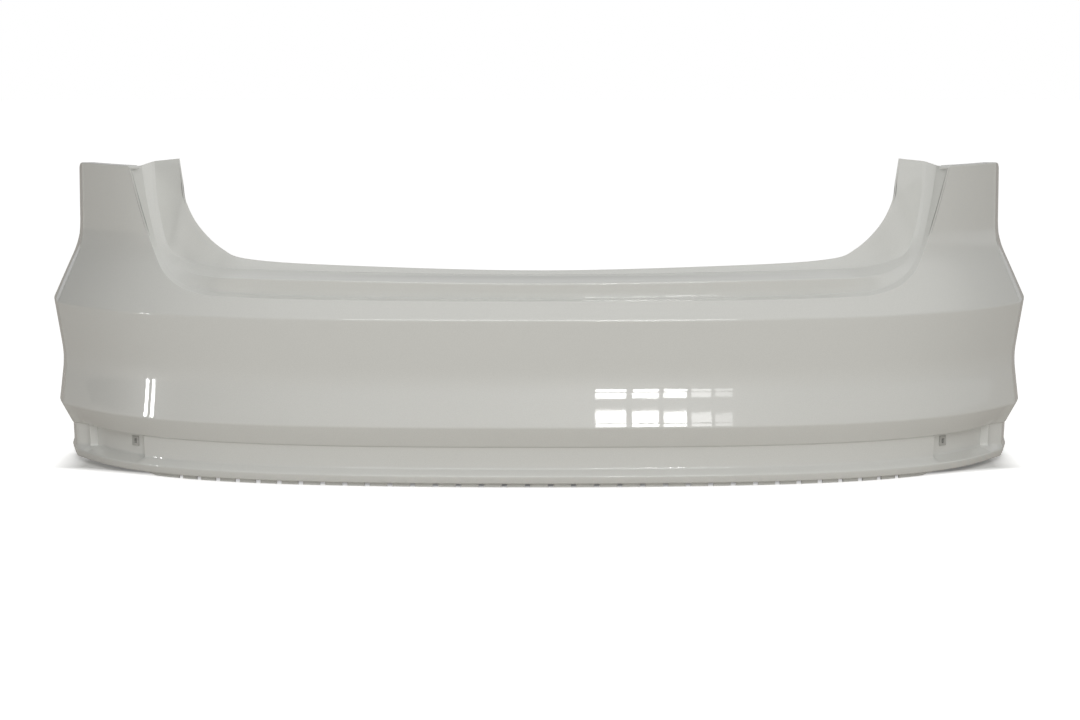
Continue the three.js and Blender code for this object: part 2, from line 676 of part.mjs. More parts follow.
// Reflection in the middle plane gives the left piece of each pair.
function reflected(geometry) {
  const copy = geometry.clone();
  const position = copy.attributes.position;
  for (let i = 0; i < position.count; i += 3) {
    for (let k = 0; k < 3; k += 1) position.setX(i + k, -position.getX(i + k));
    const [x, y, z] = [position.getX(i + 1), position.getY(i + 1), position.getZ(i + 1)];
    position.setXYZ(i + 1, position.getX(i + 2), position.getY(i + 2), position.getZ(i + 2));
    position.setXYZ(i + 2, x, y, z);
  }
  return copy;
}

const PAIRS = [
  ['side_guide', sideGuide()],
  ['tail_lamp_bracket', lampBracket()],
  ['arch_bracket', archBracket()],
];
for (const [name, piece] of PAIRS) {
  const geometry = geometryOf(piece);
  addPart(`${name}_right`, geometry, BLACK_PLASTIC());
  addPart(`${name}_left`, reflected(geometry), BLACK_PLASTIC());
}

// ---------------------------------------------------------------- reflector sockets in the pocket holes
function reflectorSocket() {
  const side = CLIP_HOLE.side;
  const frame = box([side + 5, 1.6, side + 5], [0, -GAP - 0.9, 0]);
  const sleeve = box([side - 2 * GAP, 12, side - 2 * GAP], [0, 4.6, 0]);
  const lip = box([side + 3, 1.5, side - 4], [0, WALL + GAP + 2.2, 0]);
  const bore = box([side - 4, 40, side - 4], [0, 0, 0]);
  return frame.add(sleeve).add(lip).subtract(bore);
}
for (const [label, side] of SIDES) {
  const at = place(CLIP_HOLE.s, CLIP_HOLE.z, POCKET.deep + 29.7);
  const frame = turned(upright(side * at.x, at.y, at.z), side * turnAt(CLIP_HOLE.s));
  placed(`reflector_socket_${label}`, geometryOf(reflectorSocket()), finish(0xb9b9b2, 0.45, 0), frame);
}

// ---------------------------------------------------------------- wheel-arch screws and spring nuts
const SCREW_PROFILE = [
  [0, -15], [2.4, -12], [2.4, 0], [6.3, 0], [6.3, 1.2], [4.8, 1.2], [4.4, 4.6], [2, 5], [2, 2.6], [0, 2.6],
];
// The nut folds round the inner edge of the flange and the bracket behind it.
function springNut() {
  const front = GAP;
  const rear = -(WALL + 2 * GAP + SHEET + GAP);
  const far = FLANGE + GAP - SCREW_INSET;
  const near = NUT.near - SCREW_INSET;
  const t = NUT.sheet;
  const outline = [
    [near, front], [far, front], [far, rear], [near, rear], [near, rear - t], [far + t, rear - t],
    [far + t, front + t], [near, front + t],
  ];
  const shape = new THREE.Shape(outline.map(([a, b]) => vec2(a, b)));
  const strip = new THREE.ExtrudeGeometry(shape, { depth: NUT.wide, bevelEnabled: false });
  // The outline's first axis points inwards, its second out of the flange, and it is drawn along the arch.
  strip.translate(0, 0, -NUT.wide / 2);
  strip.applyMatrix4(new THREE.Matrix4().makeBasis(
    new THREE.Vector3(0, 1, 0), new THREE.Vector3(0, 0, 1), new THREE.Vector3(1, 0, 0)));
  return solid(strip).subtract(drill(NUT.hole, 40, new THREE.Matrix4()));
}

for (const [label, side] of SIDES) {
  ARCH_SCREW_ROWS.forEach((row, i) => {
    const frame = archFrame(side, row, SCREW_INSET);
    const nut = springNut();
    placed(`arch_nut_${label}_${i + 1}`, geometryOf(nut), SPRING_STEEL(), frame);
    const seat = frame.clone().multiply(upright(0, 0, GAP + NUT.sheet + GAP));
    placed(`arch_screw_${label}_${i + 1}`, revolve(SCREW_PROFILE), SCREW_STEEL(), seat);
  });
}

// ---------------------------------------------------------------- push rivets
const RIVET_BODY_PROFILE = [
  [2.1, -15], [3.1, -15], [3.4, GAP], [9, GAP], [8.6, 2.2], [5.6, 2.2], [5.4, 1], [2.1, 1], [2.1, -15],
];
const RIVET_PIN_PROFILE = [[0, -16], [1.75, -13.5], [1.75, 1.3], [4.9, 1.3], [4.4, 3], [0, 3]];
function pushRivet(name, frame) {
  placed(`${name}_body`, revolve(RIVET_BODY_PROFILE), RIVET_PLASTIC(), frame);
  placed(`${name}_pin`, revolve(RIVET_PIN_PROFILE), RIVET_PLASTIC(), frame);
}
SILL_RIVETS.forEach((x, i) => pushRivet(`sill_rivet_${i + 1}`, sillRivetFrame(x)));
BOTTOM_RIVETS.forEach((s, i) => pushRivet(`bottom_rivet_${i + 1}`, bottomRivetFrame(s)));

// ---------------------------------------------------------------- origin at the middle of the footprint
const bounds = new THREE.Box3().setFromObject(parts);
parts.position.y = -(bounds.min.y + bounds.max.y) / 2;
parts.position.z = -bounds.min.z;

export default parts;
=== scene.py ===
"""Rear bumper cover of a compact saloon: painted skin, inner brackets and fasteners in a soft studio.

Everything is in metres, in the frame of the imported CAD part: +X along the cover, -Y the outer rear face
and +Z up. Sizes in the classes are in millimetres unless they say otherwise.
"""

import logging
import math
from dataclasses import dataclass, field
from enum import Enum
from typing import Callable, Sequence

import bmesh
import bpy
from mathutils import Matrix, Vector


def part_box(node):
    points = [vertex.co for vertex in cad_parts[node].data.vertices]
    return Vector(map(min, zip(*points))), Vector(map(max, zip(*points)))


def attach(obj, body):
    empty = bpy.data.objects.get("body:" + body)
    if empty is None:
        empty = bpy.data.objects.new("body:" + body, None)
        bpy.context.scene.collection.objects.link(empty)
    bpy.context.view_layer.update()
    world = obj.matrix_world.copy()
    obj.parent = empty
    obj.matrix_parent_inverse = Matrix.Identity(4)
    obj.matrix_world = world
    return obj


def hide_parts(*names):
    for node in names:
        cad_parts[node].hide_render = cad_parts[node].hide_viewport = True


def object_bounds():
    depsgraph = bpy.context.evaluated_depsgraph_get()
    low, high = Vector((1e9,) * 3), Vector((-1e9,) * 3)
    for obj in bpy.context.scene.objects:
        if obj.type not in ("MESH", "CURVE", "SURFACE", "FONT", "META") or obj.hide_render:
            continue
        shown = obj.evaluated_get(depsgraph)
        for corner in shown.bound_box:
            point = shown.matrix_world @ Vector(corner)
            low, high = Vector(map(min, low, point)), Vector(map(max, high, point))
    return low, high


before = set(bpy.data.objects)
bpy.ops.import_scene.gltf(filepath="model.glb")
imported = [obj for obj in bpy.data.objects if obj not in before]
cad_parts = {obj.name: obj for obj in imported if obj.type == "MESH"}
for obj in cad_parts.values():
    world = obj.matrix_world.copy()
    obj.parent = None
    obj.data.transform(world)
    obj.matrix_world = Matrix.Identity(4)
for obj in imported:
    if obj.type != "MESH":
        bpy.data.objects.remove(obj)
CAD_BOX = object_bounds()
LOG = logging.getLogger("bumper_cover")
MM = 0.001
MERGE = 0.00002
HALVINGS = 40
AXIS_ROUNDS = 60


def mix(low: float, high: float, share: float) -> float:
    """Value that lies a share of the way from low to high."""
    return low + (high - low) * share


def smooth_step(value: float, low: float, high: float) -> float:
    """Smooth rise from 0 at low to 1 at high."""
    t = min(max((value - low) / (high - low), 0.0), 1.0)
    return t * t * (3.0 - 2.0 * t)


def soft_min(a: float, b: float, soft: float) -> float:
    """Smaller of two values, with the corner between them rounded over soft."""
    near = max(soft - abs(a - b), 0.0)
    return min(a, b) - near * near / (4.0 * soft)


def catmull_rom(points: Sequence[Sequence[float]], t: float) -> Vector:
    """Point of a uniform Catmull-Rom curve that starts on the middle plane and is smooth across it.

    Args:
        points: the points that the curve passes through.
        t: place along the curve, whole numbers falling on the points.

    Returns:
        The point of the curve.
    """
    last = len(points) - 1
    i = min(int(math.floor(t)), last - 1)
    w = t - i
    p1, p2 = Vector(points[i]), Vector(points[i + 1])
    p0 = Vector(points[i - 1]) if i > 0 else Vector((-p2[0], p2[1], p2[2]))
    p3 = Vector(points[i + 2]) if i + 2 <= last else p2 * 2.0 - p1
    m1, m2 = (p2 - p0) * 0.5, (p3 - p1) * 0.5
    w2, w3 = w * w, w * w * w
    return (p1 * (2 * w3 - 3 * w2 + 1) + m1 * (w3 - 2 * w2 + w)
            + p2 * (3 * w2 - 2 * w3) + m2 * (w3 - w2))


# ------------------------------------------------------------------ shape of the cover, in millimetres


@dataclass
class PlanCurve:
    """Line that the cover follows when seen from above: a rear arc, a soft corner and a side arc."""

    corner: tuple[float, float] = (854.0, 350.0)
    rear_handles: tuple[tuple[float, float], ...] = ((558.0, 0.0), (700.0, 101.0))
    side_handle: tuple[float, float] = (886.0, 466.0)
    half_width: float = 894.0
    depth: float = 628.0
    chord: float = 12.0
    steps: int = 600
    table: list[tuple[float, float, float]] = field(default_factory=list)

    def __post_init__(self) -> None:
        """Lays the arcs out by length."""
        points = [self._rear(i / self.steps) for i in range(self.steps + 1)]
        points += [self._side(i / self.steps) for i in range(1, self.steps + 1)]
        length = 0.0
        for i, (x, y) in enumerate(points):
            if i:
                length += math.hypot(x - points[i - 1][0], y - points[i - 1][1])
            self.table.append((length, x, y))
        self.corner_at = self.table[self.steps][0]
        self.end_at = length

    def _rear(self, t: float) -> tuple[float, float]:
        """Point of the rear arc, a cubic curve."""
        (ax, ay), (bx, by) = self.rear_handles
        a, b, c = 3 * (1 - t) ** 2 * t, 3 * (1 - t) * t * t, t**3
        return a * ax + b * bx + c * self.corner[0], a * ay + b * by + c * self.corner[1]

    def _side(self, t: float) -> tuple[float, float]:
        """Point of the side arc, a quadratic curve."""
        a, b, c = (1 - t) ** 2, 2 * (1 - t) * t, t * t
        (hx, hy), (kx, ky) = self.side_handle, self.corner
        return a * kx + b * hx + c * self.half_width, a * ky + b * hy + c * self.depth

    def point(self, s: float) -> tuple[float, float]:
        """Point at an arc length on the right half.

        Args:
            s: arc length from the middle plane.

        Returns:
            X from the middle plane and Y from the rearmost point.
        """
        reach = min(max(s, 0.0), self.end_at)
        low, high = 0, len(self.table) - 1
        while high - low > 1:
            middle = (low + high) // 2
            if self.table[middle][0] <= reach:
                low = middle
            else:
                high = middle
        (l0, x0, y0), (l1, x1, y1) = self.table[low], self.table[high]
        w = (reach - l0) / (l1 - l0)
        return mix(x0, x1, w), mix(y0, y1, w)

    def normal(self, s: float) -> tuple[float, float]:
        """Outward normal at an arc length, turned smoothly round the corner.

        Args:
            s: arc length from the middle plane.

        Returns:
            The normal's X and Y.
        """
        ahead = self.point(min(s + self.chord, self.end_at))
        x, y = self.point(max(s - self.chord, 0.0))
        if s < self.chord:
            mirrored = self.point(self.chord - s)
            x, y = -mirrored[0], mirrored[1]
        dx, dy = ahead[0] - x, ahead[1] - y
        length = math.hypot(dx, dy)
        return dy / length, -dx / length

    def place(self, s: float, z: float, depth: float) -> Vector:
        """Point a depth inside the curve, at a height."""
        (x, y), (nx, ny) = self.point(s), self.normal(s)
        return Vector((x - nx * depth, y - ny * depth, z))


@dataclass
class CoverForm:
    """Sizes and curves of the outer surface. Heights are above the hook tabs."""

    plan: PlanCurve = field(default_factory=PlanCurve)
    wall: float = 3.0
    z_lower: float = 102.0
    z_upper: float = 283.0
    z_wing: float = 530.0
    z_wing_end: float = 440.0
    shoulder_slope: float = 0.46
    wing_inset: float = 49.0
    lower_inset: float = 7.0
    crease_soft: float = 1.6
    tuck_start: float = 790.0
    tuck_full: float = 1010.0
    tuck_deep: float = 12.0
    fill_start: float = 938.0
    fill_full: float = 975.0
    fill_rise: float = 11.0
    wall_lean: tuple[float, float] = (1.45, 0.8)
    flange: float = 20.0
    arch_y: float = 770.0
    arch_z: float = 115.0
    arch_radius: float = 345.0
    pocket_start: float = 742.0
    pocket_end: float = 925.0
    pocket_deep: float = 12.0
    pocket_blend: float = 6.0
    clip_hole_s: float = 772.0
    clip_hole_z: float = 54.0
    clip_hole_side: float = 12.0
    tab_pitch: float = 39.0
    tab_notch: float = 9.0
    tab_reach: float = 700.0
    tab_fade_rise: float = 4.5
    base_at_station: tuple[float, ...] = (0, 305, 495, 572, 622, 672, 754, 805)
    rim: tuple[tuple[float, ...], ...] = (
        (0, 0, 314), (310, 0, 314.5), (500, 0, 316), (581, 0, 321),
        (633, 0, 345), (662, 0, 391), (686, 0, 460), (707, 0, 530))
    wall_top: tuple[tuple[float, ...], ...] = (
        (0, 30, 343), (314, 46, 346), (500, 85, 347), (560, 117, 348),
        (603, 152, 356), (641, 195, 383), (665, 250, 455), (676, 290, 539))
    groove: tuple[tuple[float, ...], ...] = (
        (0, 88, 354), (315, 104, 357), (500, 142, 359), (557, 166, 361),
        (607, 192, 370), (637, 207, 390), (660, 253, 462), (671, 291, 540))
    edge: tuple[tuple[float, ...], ...] = (
        (0, 95, 360), (320, 112, 367), (488, 148, 375), (542, 172, 392),
        (585, 198, 430), (609, 222, 473), (616, 245, 507), (624, 268, 543))

    @property
    def stations(self) -> int:
        """Number of spans between the outline's stations."""
        return len(self.rim) - 1

    def face_depth(self, z: float) -> float:
        """Depth inside the plan curve of the main face, at a height."""
        above = soft_min(self.shoulder_slope * (z - self.z_upper), self.wing_inset, 12.0)
        from_above = 0.16 * (self.z_upper - z)
        from_below = self.lower_inset + 0.12 * (z - self.z_lower)
        below = soft_min(from_above, from_below, 6.0)
        return -soft_min(-above, -below, self.crease_soft)

    def pocket_share(self, s: float) -> float:
        """How far an arc length lies inside the reflector pocket, from 0 to 1."""
        inner = smooth_step(s, self.pocket_start - self.pocket_blend, self.pocket_start)
        outer = 1.0 - smooth_step(s, self.pocket_end, self.pocket_end + self.pocket_blend)
        return inner * outer

    def side_tuck(self, s: float) -> float:
        """How far the lip and the strip draw in at an arc length."""
        return self.tuck_deep * smooth_step(s, self.tuck_start, self.tuck_full)

    def strip_fill(self, s: float) -> float:
        """How far the strip comes out beyond the reflector pocket."""
        return self.fill_rise * smooth_step(s, self.fill_start, self.fill_full)

    def arc_at(self, x: float, z: float) -> float:
        """Arc length at which the main face stands x from the middle plane.

        Args:
            x: distance from the middle plane.
            z: height on the face.

        Returns:
            The arc length, found by halving.
        """
        low, high = 0.0, self.plan.corner_at
        for _ in range(HALVINGS):
            middle = (low + high) / 2
            if self.plan.place(middle, z, self.face_depth(z)).x < x:
                low = middle
            else:
                high = middle
        return low

    def arch_end(self, z: float) -> float:
        """Arc length at which the wheel arch cuts the side.

        Args:
            z: height on the side.

        Returns:
            The arc length, found by halving.
        """
        rise = z - self.arch_z
        reach = math.sqrt(max(0.0, self.arch_radius**2 - rise * rise))
        y = min(self.plan.depth, self.arch_y - reach)
        low, high = self.plan.corner_at, self.plan.end_at
        for _ in range(HALVINGS):
            middle = (low + high) / 2
            if self.plan.point(middle)[1] < y:
                low = middle
            else:
                high = middle
        return high

    def station_of(self, base: float) -> float:
        """Station number that belongs to an arc length along the foot of the opening.

        Args:
            base: arc length below the upper crease.

        Returns:
            The number, with a fraction between stations.
        """
        for i in range(self.stations):
            low, high = self.base_at_station[i], self.base_at_station[i + 1]
            if base <= high:
                return i + (base - low) / (high - low)
        return float(self.stations)


@dataclass
class Column:
    """One upright line of the skin, from the hook tabs to the top edge."""

    form: CoverForm
    base: float
    share: float = 0.0
    station: float | None = None
    top: float = 0.0
    height: float = 0.0

    def __post_init__(self) -> None:
        """Finds where the column meets the rim or the wing top."""
        form = self.form
        opening_end = form.base_at_station[-1]
        if self.share > 0:
            self.height = mix(form.z_wing, form.z_wing_end, self.share**2)
        elif self.base <= opening_end:
            self.station = form.station_of(self.base)
            rim = catmull_rom(form.rim, self.station)
            self.top, self.height = form.arc_at(rim.x, rim.z), rim.z
        else:
            start = form.arc_at(form.rim[-1][0], form.z_wing)
            t = (self.base - opening_end) / (form.plan.corner_at - opening_end)
            self.top, self.height = mix(start, form.plan.corner_at, t), form.z_wing

    def arc(self, z: float, up: float) -> float:
        """Arc length of the column at a height; up runs from 0 at the crease to 1 at the top."""
        if self.share > 0:
            return mix(self.form.plan.corner_at, self.form.arch_end(z), self.share)
        return mix(self.base, self.top, up)

    def low_point(self, z: float, depth: float) -> Vector:
        """Point of the column below the upper crease, at an own depth."""
        return self.form.plan.place(self.arc(z, 0.0), z, depth)

    def face_point(self, z: float) -> Vector:
        """Point of the column on the main face."""
        up = max(0.0, (z - self.form.z_upper) / (self.height - self.form.z_upper))
        return self.form.plan.place(self.arc(z, up), z, self.form.face_depth(z))


def rounded(corners: Sequence[tuple[Vector, float, int]]) -> list[Vector]:
    """Line through corners, with chosen corners rounded.

    Args:
        corners: points, each with the length taken by its rounding and the rounding's steps.
            No rounding leaves the point as it is.

    Returns:
        The points of the line.
    """
    line: list[Vector] = []
    for i, (at, reach, steps) in enumerate(corners):
        if reach <= 0 or i in (0, len(corners) - 1):
            line.append(at)
            continue
        before, after = corners[i - 1][0] - at, corners[i + 1][0] - at
        start = at + before.normalized() * min(reach, before.length * 0.45)
        stop = at + after.normalized() * min(reach, after.length * 0.45)
        for k in range(steps + 1):
            t = k / steps
            line.append(start * (1 - t) ** 2 + at * 2 * t * (1 - t) + stop * t * t)
    return line


class SkinGrid:
    """Columns and rows of the skin, and the bmesh patches laid over them."""

    lower_corners = (
        (0.0, 30.0, 0.0, 1), (7.5, 30.0, 1.2, 2), (6.5, 21.0, 2.2, 4), (20.0, 17.0, 2.4, 4),
        (30.0, 31.0, 3.0, 4), (48.0, 30.03, 0.0, 1), (60.0, 29.38, 0.0, 1), (67.0, 29.0, 1.6, 3),
        (69.0, 24.0, 1.2, 3),
    )
    pocket_rows = (4, 5, 6, 7)
    fill_rows = (4, 5, 6, 7, 8)
    below_crease = (104.0, 108.0, 116, 126, 136, 146, 156, 165, 173, 180, 187, 195, 205, 217, 230, 243,
                    256, 266, 274, 278, 280.4, 281.8, 282.6, 283.0, 283.5, 284.4, 286.0)
    upper_shares = (0.06, 0.12, 0.2, 0.28, 0.36, 0.44, 0.52, 0.6, 0.68, 0.76, 0.84, 0.92)
    column_step = 7.5
    hole_clearance = 2.5
    side_columns = 24
    near_end = 0.03
    crease_top = 114.0
    rim_rounding = 2.2

    def __init__(self, form: CoverForm) -> None:
        """Lays out the columns of the right half.

        Args:
            form: the shape of the cover.
        """
        self.form = form
        plan = form.plan
        bases = [0.0]
        pitch, notch = form.tab_pitch, form.tab_notch
        before = (pitch - notch) / 2
        for i in range(int(form.tab_reach / pitch) + 1):
            start = i * pitch
            bases += [start + before / 2, start + before, start + before + notch,
                      start + before * 1.5 + notch, start + pitch]
        count = int((plan.corner_at - bases[-1]) / self.column_step)
        bases += [mix(bases[-1], plan.corner_at, (k + 1) / count) for k in range(count)]
        hole = (form.clip_hole_s - form.clip_hole_side / 2, form.clip_hole_s + form.clip_hole_side / 2)
        clear = [b for b in bases if min(abs(b - h) for h in hole) > self.hole_clearance]
        bases = sorted(clear + list(hole))
        self.columns = [Column(form, base) for base in bases]
        self.last_opening = max(i for i, c in enumerate(self.columns) if c.station is not None)
        side = self.side_columns
        shares = [k / side for k in range(1, side)] + [1.0 - self.near_end]
        self.columns += [Column(form, plan.corner_at, share) for share in shares]
        self.face_lines = [self._face_line(column) for column in self.columns]
        self.end_line = self._face_line(Column(form, plan.corner_at, 1.0))

    def _face_line(self, column: Column) -> list[Vector]:
        """Points of one column from the hook tabs to just below the rim.

        Args:
            column: the column.

        Returns:
            The points, upwards.
        """
        form = self.form
        corners: list[tuple[Vector, float, int]] = []
        for i, (z, depth, reach, steps) in enumerate(self.lower_corners):
            s = column.arc(z, 0.0)
            if i in self.pocket_rows:
                depth += form.pocket_deep * form.pocket_share(s)
            if i in self.fill_rows:
                depth -= form.strip_fill(s)
            depth += form.side_tuck(s)
            if i == 0:
                z += form.tab_fade_rise * smooth_step(s, form.tab_reach, form.tab_reach + 25.0)
            corners.append((form.plan.place(s, z, depth), reach, steps))
        corners.append((column.low_point(form.z_lower, form.lower_inset), 2.6, 4))
        corners.append((column.face_point(form.z_lower + 14.0), 0.0, 1))
        line = rounded(corners)[:-1]
        line += [column.face_point(z) for z in self.below_crease if z > self.crease_top]
        top = column.height
        start = self.below_crease[-1]
        rim = self.rim_point(column)
        near = column.face_point(top - 0.001)
        for share in self.upper_shares:
            line.append(column.face_point(mix(start, top, share)))
        toward = (line[-1] - near).normalized()
        line.append(rim + toward * self.rim_reach(column))
        return line

    def rim_reach(self, column: Column) -> float:
        """Length taken by the rounding of the rim."""
        return min(self.rim_rounding, (column.height - self.form.z_upper) * 0.07)

    def rim_point(self, column: Column) -> Vector:
        """Point of the column on the rim or the wing's top edge."""
        return column.face_point(column.height)

    def recess_line(self, index: int) -> list[Vector]:
        """Points of one column from the rim over the wall and ledge to the folded edge.

        Args:
            index: number of the column.

        Returns:
            The points, inwards.
        """
        form, column = self.form, self.columns[index]
        t = column.station or 0.0
        climb = t / form.stations
        rim = self.rim_point(column)
        wall = catmull_rom(form.wall_top, t)
        groove = catmull_rom(form.groove, t)
        edge = catmull_rom(form.edge, t)
        foot = Vector((mix(rim.x, wall.x, mix(0.15, 0.45, climb)),
                       mix(rim.y, wall.y, mix(*form.wall_lean, climb)),
                       mix(rim.z, wall.z, mix(0.06, 0.3, climb))))
        fold = smooth_step(t, 2.0, 4.0)
        folded = edge + Vector((5.0 * fold, mix(7.0, 15.0, fold), mix(-12.0, -1.0, fold)))
        start = self.face_lines[index][-1]
        ledge = (groove - wall).length
        sink = Vector((0.0, 0.0, -1.0)) * mix(1.2, 0.0, fold)
        span = edge - groove
        corners = [
            (start, 0.0, 1), (rim, self.rim_reach(column), 4), (foot, mix(2.4, 1.0, climb), 3),
            (mix_point(foot, wall, 0.5), 0.0, 1), (wall, mix(min(4.0, 1.0 + ledge * 0.2), 1.3, climb), 5),
            (mix_point(wall, groove, 0.4), 0.0, 1), (mix_point(wall, groove, 0.75), 0.0, 1),
            (groove + sink, 2.0, 4),
            (mix_point(groove, edge, 0.2), 0.0, 1), (mix_point(groove, edge, 0.4), 0.0, 1),
            (mix_point(groove, edge, 0.6), 0.0, 1), (mix_point(groove, edge, 0.8), 0.0, 1),
            (edge, min(2.5, span.length * 0.3), 4), (folded, 0.0, 1),
        ]
        return rounded(corners)

    def flange_line(self, index: int) -> list[Vector]:
        """Points of one column from the wing's top edge over its flange.

        Args:
            index: number of the column.

        Returns:
            The points, inwards.
        """
        column = self.columns[index]
        nx, ny = self.form.plan.normal(column.arc(column.height, 1.0))
        top = self.rim_point(column)
        inner = top - Vector((nx, ny, 0.0)) * self.form.flange
        start = self.face_lines[index][-1]
        return rounded([(start, 0.0, 1), (top, self.rim_reach(column), 4),
                        (mix_point(top, inner, 0.5), 0.0, 1), (inner, 0.0, 1)])


def mix_point(a: Vector, b: Vector, share: float) -> Vector:
    """Point a share of the way from a to b."""
    return a.lerp(b, share)


class Side(Enum):
    """Sides of the car, as the sign of X."""

    RIGHT = 1
    LEFT = -1


def grid_patch(bm: bmesh.types.BMesh, lines: Sequence[Sequence[Vector]],
               lift: Callable[[Vector], Vector]) -> None:
    """Adds a grid whose columns follow the given lines.

    Args:
        bm: mesh that takes the patch.
        lines: one list of points per column, all of one length, in millimetres.
        lift: turns a point in millimetres into its place in the frame.
    """
    columns, rows = len(lines) - 1, len(lines[0]) - 1
    made = bmesh.ops.create_grid(bm, x_segments=columns, y_segments=rows, size=1.0)
    for vertex in made["verts"]:
        column = round((vertex.co.x + 1.0) / 2.0 * columns)
        row = round((vertex.co.y + 1.0) / 2.0 * rows)
        vertex.co = lift(lines[column][row])


def finish_mesh(bm: bmesh.types.BMesh, name: str, materials: Sequence[bpy.types.Material],
                sharp_deg: float = 32.0) -> bpy.types.Object:
    """Makes an object of a bmesh, smooth except at edges sharper than an angle.

    Args:
        bm: the finished mesh, which is freed.
        name: name of the object.
        materials: its material slots.
        sharp_deg: angle above which an edge stays sharp.

    Returns:
        The new object, linked to the scene.
    """
    for face in bm.faces:
        face.smooth = True
    for edge in bm.edges:
        edge.smooth = edge.is_manifold and edge.calc_face_angle(0.0) < math.radians(sharp_deg)
    mesh = bpy.data.meshes.new(name)
    bm.to_mesh(mesh)
    bm.free()
    for material in materials:
        mesh.materials.append(material)
    piece = bpy.data.objects.new(name, mesh)
    bpy.context.scene.collection.objects.link(piece)
    LOG.info("%s: %d faces", name, len(mesh.polygons))
    return piece


def holed_plate(bm: bmesh.types.BMesh, matrix: Matrix, hole: float,
                box: tuple[float, float, float]) -> list[bmesh.types.BMFace]:
    """Adds a flat sheet with rounded corners and a round hole, which is thickened later.

    Args:
        bm: mesh that takes the sheet.
        matrix: frame of the hole, Z out of the sheet.
        hole: radius of the hole, in metres.
        box: half width along X, reach along -Y and reach along +Y, in metres.

    Returns:
        The new faces.
    """
    half, behind, ahead = box
    inner = bmesh.ops.create_circle(bm, segments=40, radius=hole)["verts"]
    outer = bmesh.ops.create_circle(bm, segments=40, radius=1.0)["verts"]
    for vertex in outer:
        x, y = vertex.co.x, vertex.co.y
        reach = ahead if y > 0 else behind
        scale = (abs(x) ** 7 + abs(y) ** 7) ** (-1 / 7)
        vertex.co.x, vertex.co.y = x * scale * half, y * scale * reach
    loops = [e for ring in (inner, outer) for v in ring for e in v.link_edges]
    faces = bmesh.ops.bridge_loops(bm, edges=list(set(loops)))["faces"]
    bmesh.ops.recalc_face_normals(bm, faces=faces)
    if faces[0].normal.z < 0:
        bmesh.ops.reverse_faces(bm, faces=faces)
    bmesh.ops.transform(bm, matrix=matrix, verts=inner + outer)
    return faces


